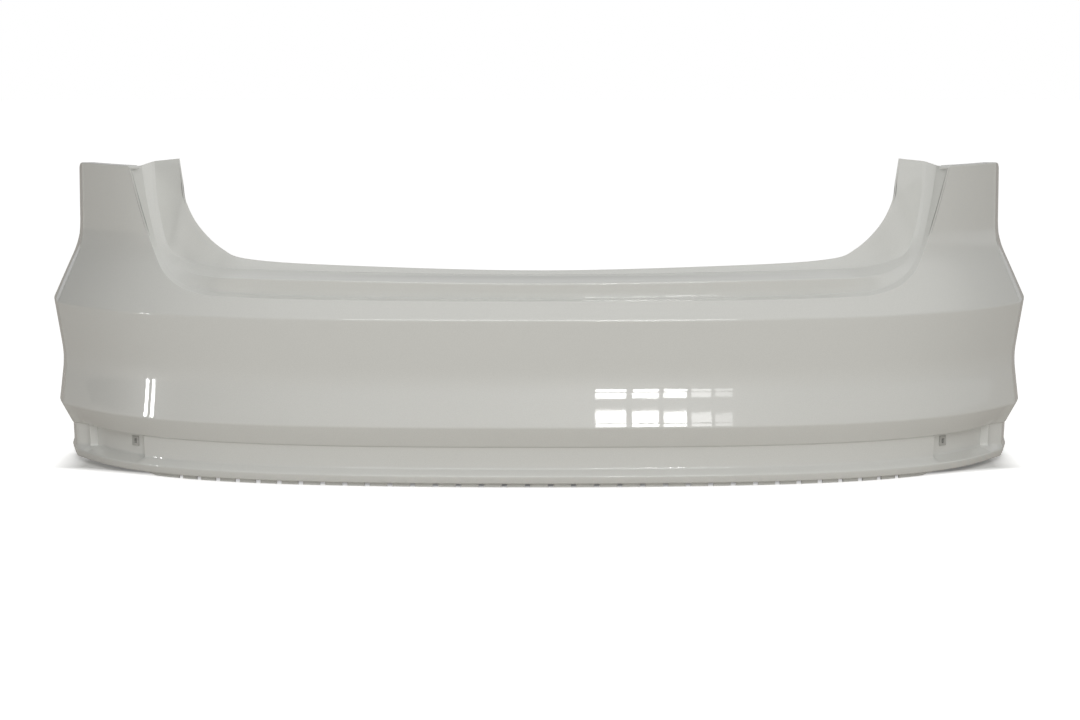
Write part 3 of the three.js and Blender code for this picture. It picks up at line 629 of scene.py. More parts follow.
@dataclass
class CoverSkin:
    """The painted moulding: face, recess, uprights, wings, flanges, lip, hook tabs and ears."""

    form: CoverForm
    paint: bpy.types.Material
    inner: bpy.types.Material
    origin_y: float
    ear_half: float = 16.0
    ear_near: float = 16.4
    ear_far: float = 14.2
    ear_hole: float = 3.8
    ear_from_rivet_end: float = 15.0
    ear_turn_reach: float = 2.6
    sill_turn_share: float = 0.75
    tab_top: float = 6.6
    flange_middle: float = 10.0
    arch_flange_foot: float = 70.0

    def build(self) -> bpy.types.Object:
        """Builds the skin.

        Returns:
            The finished piece, which stands for the CAD node cover_skin.
        """
        self.grid = SkinGrid(self.form)
        bm = bmesh.new()
        self._face(bm)
        self._recess(bm)
        for side in Side:
            self._wing_flange(bm, side)
            self._arch_flange(bm, side)
        bmesh.ops.remove_doubles(bm, verts=bm.verts, dist=MERGE)
        self._notch_tabs(bm)
        self._open_clip_holes(bm)
        self._face_outwards(bm)
        self._ears(bm)
        inner = bmesh.ops.solidify(bm, geom=list(bm.faces), thickness=self.form.wall * MM)["geom"]
        for part in inner:
            if isinstance(part, bmesh.types.BMFace):
                part.material_index = 1
        piece = finish_mesh(bm, "cover_skin_fine", [self.paint, self.inner])
        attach(piece, "cover")
        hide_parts("cover_skin")
        return piece

    def lift(self, point: Vector, side: int = 1) -> Vector:
        """Place in the frame of a point in millimetres on the right half."""
        return Vector((point.x * side * MM, point.y * MM + self.origin_y, point.z * MM))

    def _mirrored(self, lines: Sequence[Sequence[Vector]]) -> list[list[Vector]]:
        """Lines from the far left to the far right, from those of the right half."""
        left = [[Vector((-p.x, p.y, p.z)) for p in line] for line in reversed(lines[1:])]
        return left + [list(line) for line in lines]

    def _face(self, bm: bmesh.types.BMesh) -> None:
        """Adds the whole outer face up to the rim."""
        grid_patch(bm, self._mirrored(self.grid.face_lines), self.lift)

    def _recess(self, bm: bmesh.types.BMesh) -> None:
        """Adds the recess wall, ledge, uprights and folded edge."""
        lines = [self.grid.recess_line(index) for index in range(self.grid.last_opening + 1)]
        grid_patch(bm, self._mirrored(lines), self.lift)

    def _wing_flange(self, bm: bmesh.types.BMesh, side: Side) -> None:
        """Adds the flange along the top of one wing."""
        indexes = range(self.grid.last_opening, len(self.grid.columns))
        lines = [self.grid.flange_line(index) for index in indexes]
        grid_patch(bm, lines, lambda p: self.lift(p, side.value))

    def _arch_flange(self, bm: bmesh.types.BMesh, side: Side) -> None:
        """Adds the flange along one wheel arch, turned in from the end of the side.

        Args:
            bm: mesh that takes the flange.
            side: side of the car.
        """
        grid = self.grid
        first = next(i for i, p in enumerate(grid.end_line) if p.z > self.arch_flange_foot)
        lines: list[list[Vector]] = [[] for _ in range(7)]
        for a, b in zip(grid.face_lines[-1][first:], grid.end_line[first:]):
            nx, ny = self.form.plan.normal(self.form.arch_end(b.z))
            inward = Vector((-nx, -ny, 0.0))
            corners = [(a, 0.0, 1), (b, 2.0, 3), (b + inward * self.flange_middle, 0.0, 1),
                       (b + inward * self.form.flange, 0.0, 1)]
            for line, point in zip(lines, rounded(corners)):
                line.append(point)
        grid_patch(bm, lines, lambda p: self.lift(p, side.value))

    def _notch_tabs(self, bm: bmesh.types.BMesh) -> None:
        """Cuts the gaps between the hook tabs."""
        form, plan = self.form, self.form.plan
        count = int(form.tab_reach / form.tab_pitch)
        centres = [plan.place((i + 0.5) * form.tab_pitch, 5.0, 30.0).x * MM for i in range(count)]
        half = form.tab_notch * MM * 0.5
        doomed = [face for face in bm.faces
                  if face.calc_center_median().z < self.tab_top * MM
                  and any(abs(abs(face.calc_center_median().x) - c) < half for c in centres)]
        bmesh.ops.delete(bm, geom=doomed, context="FACES")

    def _open_clip_holes(self, bm: bmesh.types.BMesh) -> None:
        """Opens the square hole in the floor of each reflector pocket."""
        form = self.form
        side = form.clip_hole_side / 2
        near, far = (form.plan.place(form.clip_hole_s + d, form.clip_hole_z, 41.0) for d in (-side, side))
        doomed = []
        for face in bm.faces:
            middle = face.calc_center_median()
            tall = abs(middle.z / MM - form.clip_hole_z) < side
            if tall and near.x < abs(middle.x) / MM < far.x and middle.y < self.origin_y + far.y * MM:
                doomed.append(face)
        bmesh.ops.delete(bm, geom=doomed, context="FACES")

    def _face_outwards(self, bm: bmesh.types.BMesh) -> None:
        """Turns every face of the open sheet outwards."""
        bmesh.ops.recalc_face_normals(bm, faces=bm.faces)
        spot = Vector((0.0, self.origin_y, 0.24))
        rear = min(bm.faces, key=lambda f: (f.calc_center_median() - spot).length)
        if rear.normal.y > 0:
            bmesh.ops.reverse_faces(bm, faces=bm.faces)

    def _ears(self, bm: bmesh.types.BMesh) -> None:
        """Adds the ears that the push rivets pass through."""
        for name, up in (("sill", 1), ("bottom", -1)):
            for number in range(1, 5):
                low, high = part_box(f"{name}_rivet_{number}_body")
                foot = low[2] if up > 0 else high[2]
                middle = Vector(((low[0] + high[0]) / 2, (low[1] + high[1]) / 2, 0.0))
                middle.z = foot + self.ear_from_rivet_end * MM * up
                turn = math.atan2(middle.x, self.ear_turn_reach) * (1.0 if up < 0 else self.sill_turn_share)
                matrix = Matrix.Translation(middle) @ Matrix.Rotation(turn, 4, "Z")
                box = (self.ear_half * MM, self.ear_near * MM, self.ear_far * MM)
                faces = holed_plate(bm, matrix, self.ear_hole * MM, box)
                if up < 0:
                    bmesh.ops.translate(bm, verts=list({v for f in faces for v in f.verts}),
                                        vec=(0.0, 0.0, self.form.wall * MM))


# ------------------------------------------------------------------ fasteners


def add_turned(bm: bmesh.types.BMesh, profile: Sequence[tuple[float, float]], steps: int = 32,
               start: float = 0.0, turn: float = 360.0) -> list[bmesh.types.BMVert]:
    """Turns a profile about Z.

    Args:
        bm: mesh that takes the shape.
        profile: radius and height pairs in millimetres.
        steps: steps of the turn.
        start: angle where the turn starts, in degrees.
        turn: angle of the turn, in degrees; less than a full turn gives closed ends.

    Returns:
        The vertices of the new shape.
    """
    before = set(bm.verts)
    spin = Matrix.Rotation(math.radians(start), 3, "Z")
    ring = [bm.verts.new(spin @ Vector((r * MM, 0.0, z * MM))) for r, z in profile]
    edges = [bm.edges.new((a, b)) for a, b in zip(ring, ring[1:])]
    if turn < 360.0:
        cap = bm.faces.new(ring)
        bmesh.ops.spin(bm, geom=[cap], cent=(0, 0, 0), axis=(0, 0, 1), steps=steps,
                       angle=math.radians(turn), use_duplicate=False)
    else:
        bmesh.ops.spin(bm, geom=ring + edges, cent=(0, 0, 0), axis=(0, 0, 1), steps=steps,
                       angle=math.radians(turn), use_merge=True)
    verts = [v for v in bm.verts if v not in before]
    bmesh.ops.remove_doubles(bm, verts=verts, dist=0.000004)
    verts = [v for v in bm.verts if v not in before]
    faces = list({f for v in verts for f in v.link_faces})
    bmesh.ops.recalc_face_normals(bm, faces=faces)
    return verts


@dataclass
class PushRivet:
    """A two-piece push rivet: a flanged body with spreading legs, and the pin that spreads them."""

    name: str
    up: int
    plastic: bpy.types.Material
    flange: float = 9.0
    flange_rise: float = 2.2
    bore: float = 2.1
    neck: float = 3.35
    leg: float = 15.0
    slot_deg: float = 16.0

    def build(self) -> None:
        """Builds the body and the pin on the places of their CAD nodes."""
        low, high = (Vector(c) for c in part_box(f"{self.name}_body"))
        seat = (low + high) / 2
        rise = self.flange_rise * MM
        seat.z = high.z - rise if self.up > 0 else low.z + rise
        matrix = Matrix.Translation(seat)
        if self.up < 0:
            matrix = matrix @ Matrix.Rotation(math.pi, 4, "X")
        self._body(matrix)
        self._pin(matrix)

    def _body(self, matrix: Matrix) -> None:
        """Builds the flanged body with four legs.

        Args:
            matrix: frame of the rivet, Z out of its head.
        """
        bm = bmesh.new()
        bore, neck, rise = self.bore, self.neck, self.flange_rise
        profile = [(bore, -0.2), (neck, -0.2), (3.4, 0.3), (8.6, 0.3), (self.flange, 0.7), (8.9, 1.3),
                   (8.4, 2.0), (7.9, rise), (6.0, rise), (5.6, 2.0), (5.4, 1.2), (5.2, 1.0), (2.4, 1.0),
                   (bore, 0.8), (bore, -0.2)]
        add_turned(bm, profile, 40)
        leg = [(bore, -0.2), (neck, -0.2), (neck, -3.4), (3.5, -5.2), (3.5, -9.5), (3.0, -13.6),
               (2.6, -self.leg), (bore, -self.leg)]
        for k in range(4):
            add_turned(bm, leg, 8, start=90.0 * k + self.slot_deg / 2, turn=90.0 - self.slot_deg)
        bmesh.ops.transform(bm, matrix=matrix, verts=bm.verts)
        body = finish_mesh(bm, f"{self.name}_body_fine", [self.plastic])
        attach(body, "cover")
        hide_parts(f"{self.name}_body")

    def _pin(self, matrix: Matrix) -> None:
        """Builds the pin with a waist, and a rounded head with a shallow dimple.

        Args:
            matrix: frame of the rivet, Z out of its head.
        """
        bm = bmesh.new()
        shank, waist = 1.7, 1.5
        profile = [(0.0, -16.0), (0.7, -15.6), (shank, -13.5), (shank, -6.0), (waist, -5.6), (waist, -4.4),
                   (shank, -4.0), (shank, 1.3), (4.6, 1.3), (4.9, 1.6), (4.85, 2.2), (4.4, 2.75), (3.4, 3.0),
                   (1.6, 3.0), (1.4, 2.5), (0.0, 2.5)]
        add_turned(bm, profile, 36)
        bmesh.ops.transform(bm, matrix=matrix, verts=bm.verts)
        pin = finish_mesh(bm, f"{self.name}_pin_fine", [self.plastic])
        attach(pin, f"{self.name}_pin")
        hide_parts(f"{self.name}_pin")


def long_axis_frame(node: str) -> Matrix:
    """Frame of a turned CAD node, with Z along its axis towards the wider end.

    Args:
        node: name of the CAD node.

    Returns:
        The frame, with its origin at the wider end.
    """
    points = [v.co.copy() for v in bpy.data.objects[node].data.vertices]
    middle = sum(points, Vector()) / len(points)
    axis = Vector((0.0, 1.0, 0.0))
    for _ in range(AXIS_ROUNDS):
        axis = sum(((p - middle) * (p - middle).dot(axis) for p in points), Vector()).normalized()
    wide = sum(((p - middle).dot(axis) * ((p - middle).cross(axis)).length_squared for p in points))
    if wide < 0:
        axis.negate()
    ends = [(p - middle).dot(axis) for p in points]
    matrix = axis.to_track_quat("Z", "Y").to_matrix().to_4x4()
    matrix.translation = middle + axis * max(ends)
    return matrix


@dataclass
class ArchScrew:
    """A pan-head screw with a flange, a six-lobed drive recess and a helical thread."""

    node: str
    zinc: bpy.types.Material
    head_top: float = 5.0
    flange: float = 6.3
    core: float = 1.75
    crest: float = 2.35
    pitch: float = 1.6
    turns: int = 7
    length: float = 15.0
    recess: float = 2.4
    recess_floor: float = 2.4
    lobe: float = 0.13

    def build(self) -> None:
        """Builds the screw on the place of its CAD node."""
        bm = bmesh.new()
        top = self.head_top
        head = [(self.core, -0.2), (self.flange - 0.3, 0.0), (self.flange, 0.3), (self.flange, 0.9),
                (self.flange - 0.4, 1.2), (4.9, 1.25), (4.8, 1.5), (4.75, 3.4), (4.4, 4.4), (3.6, top),
                (2.35, top), (2.1, top - 0.3), (2.0, 2.6), (0.0, 2.5)]
        verts = add_turned(bm, head, 48)
        self._lobes(verts)
        shank = [(0.0, -self.length), (0.5, -self.length + 0.5), (self.core, -11.8), (self.core, -0.2)]
        add_turned(bm, shank, 24)
        self._thread(bm)
        bmesh.ops.translate(bm, verts=bm.verts, vec=(0.0, 0.0, -top * MM))
        bmesh.ops.transform(bm, matrix=long_axis_frame(self.node), verts=bm.verts)
        screw = finish_mesh(bm, f"{self.node}_fine", [self.zinc])
        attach(screw, "cover")
        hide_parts(self.node)

    def _lobes(self, verts: Sequence[bmesh.types.BMVert]) -> None:
        """Shapes the drive recess's wall into six lobes.

        Args:
            verts: vertices of the head.
        """
        for vertex in verts:
            radius = math.hypot(vertex.co.x, vertex.co.y) / MM
            if 0.1 < radius < self.recess and vertex.co.z / MM > self.recess_floor:
                turn = math.atan2(vertex.co.y, vertex.co.x)
                scale = 1.0 + self.lobe * math.cos(6.0 * turn)
                vertex.co.x *= scale
                vertex.co.y *= scale

    def _thread(self, bm: bmesh.types.BMesh) -> None:
        """Winds a thread of triangular section round the shank.

        Args:
            bm: mesh that takes the thread.
        """
        steps_per_turn, turns = 18, self.turns
        half = self.pitch * 0.32
        section = [(self.core - 0.15, -half), (self.crest, 0.0), (self.core - 0.15, half)]
        foot = -1.2 - self.pitch * turns
        ring = [bm.verts.new(Vector((r * MM, 0.0, (foot + z) * MM))) for r, z in section]
        cap = bm.faces.new(ring)
        rise = self.pitch / steps_per_turn * MM
        bmesh.ops.spin(bm, geom=[cap], cent=(0, 0, 0), axis=(0, 0, 1), dvec=(0, 0, rise),
                       steps=steps_per_turn * turns, angle=math.tau * turns, use_duplicate=False)


def bevelled(node: str, name: str, width: float, materials: Sequence[bpy.types.Material],
             join_deg: float = 3.0) -> bpy.types.Object:
    """Makes a finer piece from a CAD node, with its flats joined and its edges rounded.

    Args:
        node: name of the CAD node.
        name: name of the new piece.
        width: width of the rounded edges, in millimetres.
        materials: its material slots.
        join_deg: faces that meet flatter than this are joined first.

    Returns:
        The new piece.
    """
    bm = bmesh.new()
    bm.from_mesh(bpy.data.objects[node].data)
    bmesh.ops.remove_doubles(bm, verts=bm.verts, dist=MERGE)
    bmesh.ops.recalc_face_normals(bm, faces=bm.faces)
    bmesh.ops.dissolve_limit(bm, angle_limit=math.radians(join_deg), verts=bm.verts, edges=bm.edges)
    edges = [e for e in bm.edges if e.is_manifold and e.calc_face_angle(0.0) > math.radians(40.0)]
    bmesh.ops.bevel(bm, geom=edges, offset=width * MM, offset_type="OFFSET", affect="EDGES", segments=2,
                    profile=0.5, material=-1, clamp_overlap=True)
    bmesh.ops.triangulate(bm, faces=[f for f in bm.faces if len(f.verts) > 4])
    piece = finish_mesh(bm, name, materials, 40.0)
    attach(piece, "cover")
    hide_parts(node)
    return piece


# ------------------------------------------------------------------ finishes


class Nodes:
    """Short way to build a node tree."""

    def __init__(self, tree: bpy.types.NodeTree) -> None:
        """Keeps the tree."""
        self.tree = tree

    def add(self, kind: str, **values: object) -> bpy.types.Node:
        """Adds a node and sets its properties.

        Args:
            kind: the node's type.
            **values: properties to set.

        Returns:
            The new node.
        """
        node = self.tree.nodes.new(kind)
        for name, value in values.items():
            setattr(node, name, value)
        return node

    def set(self, node: bpy.types.Node, **values: object) -> bpy.types.Node:
        """Sets a node's inputs.

        Args:
            node: the node.
            **values: inputs to set, named with underscores in place of spaces.

        Returns:
            The node.
        """
        for name, value in values.items():
            node.inputs[name.replace("_", " ")].default_value = value
        return node

    def link(self, out: bpy.types.NodeSocket, into: bpy.types.NodeSocket) -> None:
        """Joins two sockets."""
        self.tree.links.new(out, into)

    def math(self, operation: str, a: object, b: object) -> bpy.types.NodeSocket:
        """Adds a sum of two sockets or numbers.

        Args:
            operation: the sum's kind.
            a: first value or socket.
            b: second value or socket.

        Returns:
            The result's socket.
        """
        node = self.add("ShaderNodeMath", operation=operation)
        for place, value in enumerate((a, b)):
            if isinstance(value, bpy.types.NodeSocket):
                self.link(value, node.inputs[place])
            else:
                node.inputs[place].default_value = value
        return node.outputs[0]


def new_group(name: str, inputs: Sequence[tuple[str, str, float]],
              outputs: Sequence[tuple[str, str]]) -> tuple:
    """Starts a shader node group.

    Args:
        name: name of the group.
        inputs: name, kind and default of each input.
        outputs: name and kind of each output.

    Returns:
        The group, its Nodes helper, its input node and its output node.
    """
    group = bpy.data.node_groups.new(name, "ShaderNodeTree")
    for label, kind, value in inputs:
        socket = group.interface.new_socket(label, in_out="INPUT", socket_type=kind)
        if kind == "NodeSocketFloat":
            socket.default_value = value
    for label, kind in outputs:
        group.interface.new_socket(label, in_out="OUTPUT", socket_type=kind)
    nodes = Nodes(group)
    return group, nodes, nodes.add("NodeGroupInput"), nodes.add("NodeGroupOutput")


def grain_group() -> bpy.types.NodeTree:
    """Moulded grain: a fine pebble surface as a normal, and patches of shine."""
    inputs = [("Scale", "NodeSocketFloat", 900.0), ("Depth", "NodeSocketFloat", 0.12)]
    group, nodes, start, end = new_group("moulded_grain", inputs, [
        ("Normal", "NodeSocketVector"), ("Patches", "NodeSocketFloat")])
    coord = nodes.add("ShaderNodeTexCoord")
    pebble = nodes.add("ShaderNodeTexNoise")
    nodes.set(pebble, Detail=2.0, Roughness=0.45)
    nodes.link(coord.outputs["Object"], pebble.inputs["Vector"])
    nodes.link(start.outputs["Scale"], pebble.inputs["Scale"])
    bump = nodes.add("ShaderNodeBump")
    nodes.set(bump, Distance=0.0004)
    nodes.link(start.outputs["Depth"], bump.inputs["Strength"])
    nodes.link(pebble.outputs["Fac"], bump.inputs["Height"])
    cloud = nodes.add("ShaderNodeTexNoise")
    nodes.set(cloud, Scale=18.0, Detail=4.0, Roughness=0.6)
    nodes.link(coord.outputs["Object"], cloud.inputs["Vector"])
    nodes.link(bump.outputs["Normal"], end.inputs["Normal"])
    nodes.link(cloud.outputs["Fac"], end.inputs["Patches"])
    return group


def handling_group() -> bpy.types.NodeTree:
    """Dust that settles on upward faces and fine handling marks, as masks."""
    inputs = [("Amount", "NodeSocketFloat", 0.5)]
    group, nodes, start, end = new_group("handling_marks", inputs, [
        ("Dust", "NodeSocketFloat"), ("Marks", "NodeSocketFloat")])
    coord = nodes.add("ShaderNodeTexCoord")
    geometry = nodes.add("ShaderNodeNewGeometry")
    split = nodes.add("ShaderNodeSeparateXYZ")
    nodes.link(geometry.outputs["Normal"], split.inputs[0])
    cloud = nodes.add("ShaderNodeTexNoise")
    nodes.set(cloud, Scale=9.0, Detail=6.0, Roughness=0.65)
    nodes.link(coord.outputs["Object"], cloud.inputs["Vector"])
    upward = nodes.math("MAXIMUM", split.outputs["Z"], 0.0)
    dust = nodes.math("MULTIPLY", upward, cloud.outputs["Fac"])
    nodes.link(nodes.math("MULTIPLY", dust, start.outputs["Amount"]), end.inputs["Dust"])
    streak = nodes.add("ShaderNodeTexNoise")
    nodes.set(streak, Scale=60.0, Detail=3.0, Roughness=0.7, Distortion=1.5)
    nodes.link(coord.outputs["Object"], streak.inputs["Vector"])
    ramp = nodes.add("ShaderNodeMapRange")
    nodes.set(ramp, From_Min=0.62, From_Max=0.72)
    nodes.link(streak.outputs["Fac"], ramp.inputs["Value"])
    nodes.link(nodes.math("MULTIPLY", ramp.outputs["Result"], start.outputs["Amount"]), end.inputs["Marks"])
    return group


def pearl_group() -> bpy.types.NodeTree:
    """Pearl flakes as a mask, and the faint orange-peel waviness of a sprayed coat as a normal."""
    inputs = [("Flake Scale", "NodeSocketFloat", 2200.0), ("Peel", "NodeSocketFloat", 0.05)]
    group, nodes, start, end = new_group("pearl_coat", inputs, [
        ("Flakes", "NodeSocketFloat"), ("Normal", "NodeSocketVector")])
    coord = nodes.add("ShaderNodeTexCoord")
    flake = nodes.add("ShaderNodeTexVoronoi")
    nodes.link(coord.outputs["Object"], flake.inputs["Vector"])
    nodes.link(start.outputs["Flake Scale"], flake.inputs["Scale"])
    split = nodes.add("ShaderNodeSeparateColor")
    nodes.link(flake.outputs["Color"], split.inputs[0])
    nodes.link(split.outputs[0], end.inputs["Flakes"])
    peel = nodes.add("ShaderNodeTexNoise")
    nodes.set(peel, Scale=160.0, Detail=1.0)
    nodes.link(coord.outputs["Object"], peel.inputs["Vector"])
    bump = nodes.add("ShaderNodeBump")
    nodes.set(bump, Distance=0.0006)
    nodes.link(start.outputs["Peel"], bump.inputs["Strength"])
    nodes.link(peel.outputs["Fac"], bump.inputs["Height"])
    nodes.link(bump.outputs["Normal"], end.inputs["Normal"])
    return group


class Groups:
    """The shared node groups, each made once."""

    def __init__(self) -> None:
        """Makes the groups."""
        self.grain = grain_group()
        self.handling = handling_group()
        self.pearl = pearl_group()


def start_material(name: str) -> tuple[bpy.types.Material, Nodes, bpy.types.Node]:
    """Starts a material.

    Args:
        name: name of the material.

    Returns:
        The material, its Nodes helper and its Principled node.
    """
    material = bpy.data.materials.new(name)
    material.use_nodes = True
    nodes = Nodes(material.node_tree)
    return material, nodes, material.node_tree.nodes["Principled BSDF"]


def mix_colors(nodes: Nodes, share: bpy.types.NodeSocket, low: Sequence[float],
               high: Sequence[float]) -> bpy.types.Node:
    """Adds a mix of two colours.

    Args:
        nodes: the tree's helper.
        share: how much of the second colour shows.
        low: colour at 0.
        high: colour at 1.

    Returns:
        The mix node; its output 2 holds the colour.
    """
    node = nodes.add("ShaderNodeMix", data_type="RGBA")
    node.inputs[6].default_value = (*low, 1.0)
    node.inputs[7].default_value = (*high, 1.0)
    nodes.link(share, node.inputs[0])
    return node


@dataclass(frozen=True)
class PearlPaint:
    """Warm white gloss paint with a fine pearl under clear coat."""

    dark: tuple[float, float, float] = (0.735, 0.74, 0.71)
    light: tuple[float, float, float] = (0.795, 0.80, 0.77)
    dust: tuple[float, float, float] = (0.60, 0.585, 0.55)
    roughness: float = 0.38

    def material(self, groups: Groups) -> bpy.types.Material:
        """Builds the material.

        Args:
            groups: the shared node groups.

        Returns:
            The material.
        """
        material, nodes, shader = start_material("pearl_white_paint")
        nodes.set(shader, Coat_Weight=1.0, Coat_Roughness=0.02, Coat_IOR=1.55)
        pearl = nodes.add("ShaderNodeGroup", node_tree=groups.pearl)
        marks = nodes.add("ShaderNodeGroup", node_tree=groups.handling)
        nodes.set(marks, Amount=0.10)
        color = mix_colors(nodes, pearl.outputs["Flakes"], self.dark, self.light)
        dusty = nodes.add("ShaderNodeMix", data_type="RGBA")
        dusty.inputs[7].default_value = (*self.dust, 1.0)
        nodes.link(marks.outputs["Dust"], dusty.inputs[0])
        nodes.link(color.outputs[2], dusty.inputs[6])
        nodes.link(dusty.outputs[2], shader.inputs["Base Color"])
        nodes.link(pearl.outputs["Normal"], shader.inputs["Normal"])
        shine = nodes.math("MULTIPLY", marks.outputs["Marks"], 0.5)
        nodes.link(nodes.math("ADD", shine, self.roughness), shader.inputs["Roughness"])
        return material


@dataclass(frozen=True)
class Moulding:
    """Moulded plastic with a fine grain."""

    name: str
    color: tuple[float, float, float]
    worn: tuple[float, float, float]
    roughness: float = 0.55
    grain_scale: float = 900.0
    grain_depth: float = 0.25
    dust: float = 0.35

    def material(self, groups: Groups) -> bpy.types.Material:
        """Builds the material.

        Args:
            groups: the shared node groups.

        Returns:
            The material.
        """
        material, nodes, shader = start_material(self.name)
        grain = nodes.add("ShaderNodeGroup", node_tree=groups.grain)
        nodes.set(grain, Scale=self.grain_scale, Depth=self.grain_depth)
        marks = nodes.add("ShaderNodeGroup", node_tree=groups.handling)
        nodes.set(marks, Amount=self.dust)
        faint = nodes.math("MULTIPLY", marks.outputs["Marks"], 0.5)
        share = nodes.math("ADD", marks.outputs["Dust"], faint)
        color = mix_colors(nodes, share, self.color, self.worn)
        nodes.link(color.outputs[2], shader.inputs["Base Color"])
        nodes.link(grain.outputs["Normal"], shader.inputs["Normal"])
        shine = nodes.math("MULTIPLY", grain.outputs["Patches"], 0.3)
        nodes.link(nodes.math("ADD", shine, self.roughness - 0.15), shader.inputs["Roughness"])
        return material


@dataclass(frozen=True)
class Oversprayed:
    """Raw dark plastic of the inner side, with paint mist along the edges the spray reached."""

    raw: tuple[float, float, float] = (0.06, 0.06, 0.062)
    mist: tuple[float, float, float] = (0.62, 0.615, 0.59)

    def material(self, groups: Groups) -> bpy.types.Material:
        """Builds the material.

        Args:
            groups: the shared node groups.

        Returns:
            The material.
        """
        material, nodes, shader = start_material("raw_inner_plastic")
        grain = nodes.add("ShaderNodeGroup", node_tree=groups.grain)
        nodes.set(grain, Scale=420.0, Depth=0.2)
        coord = nodes.add("ShaderNodeTexCoord")
        split = nodes.add("ShaderNodeSeparateXYZ")
        nodes.link(coord.outputs["Object"], split.inputs[0])
        wave = nodes.math("MULTIPLY", nodes.math("SUBTRACT", grain.outputs["Patches"], 0.5), 0.09)
        high = nodes.add("ShaderNodeMapRange")
        nodes.set(high, From_Min=0.46, From_Max=0.535)
        nodes.link(nodes.math("ADD", split.outputs["Z"], wave), high.inputs["Value"])
        ahead = nodes.add("ShaderNodeMapRange")
        nodes.set(ahead, From_Min=0.2, From_Max=0.3)
        nodes.link(nodes.math("ADD", split.outputs["Y"], wave), ahead.inputs["Value"])
        share = nodes.math("MAXIMUM", high.outputs["Result"], ahead.outputs["Result"])
        color = mix_colors(nodes, nodes.math("MULTIPLY", share, 0.85), self.raw, self.mist)
        nodes.link(color.outputs[2], shader.inputs["Base Color"])
        nodes.link(grain.outputs["Normal"], shader.inputs["Normal"])
        nodes.set(shader, Roughness=0.48)
        return material


@dataclass(frozen=True)
class PlatedSteel:
    """Thin plated steel with drawn streaks."""

    name: str
    dark: tuple[float, float, float]
    light: tuple[float, float, float]
    roughness: float = 0.34

    def material(self, groups: Groups) -> bpy.types.Material:
        """Builds the material.

        Args:
            groups: the shared node groups.

        Returns:
            The material.
        """
        material, nodes, shader = start_material(self.name)
        nodes.set(shader, Metallic=1.0)
        grain = nodes.add("ShaderNodeGroup", node_tree=groups.grain)
        nodes.set(grain, Scale=2600.0, Depth=0.08)
        color = mix_colors(nodes, grain.outputs["Patches"], self.dark, self.light)
        nodes.link(color.outputs[2], shader.inputs["Base Color"])
        nodes.link(grain.outputs["Normal"], shader.inputs["Normal"])
        shine = nodes.math("MULTIPLY", grain.outputs["Patches"], 0.22)
        nodes.link(nodes.math("ADD", shine, self.roughness - 0.1), shader.inputs["Roughness"])
        return material


# ------------------------------------------------------------------ studio


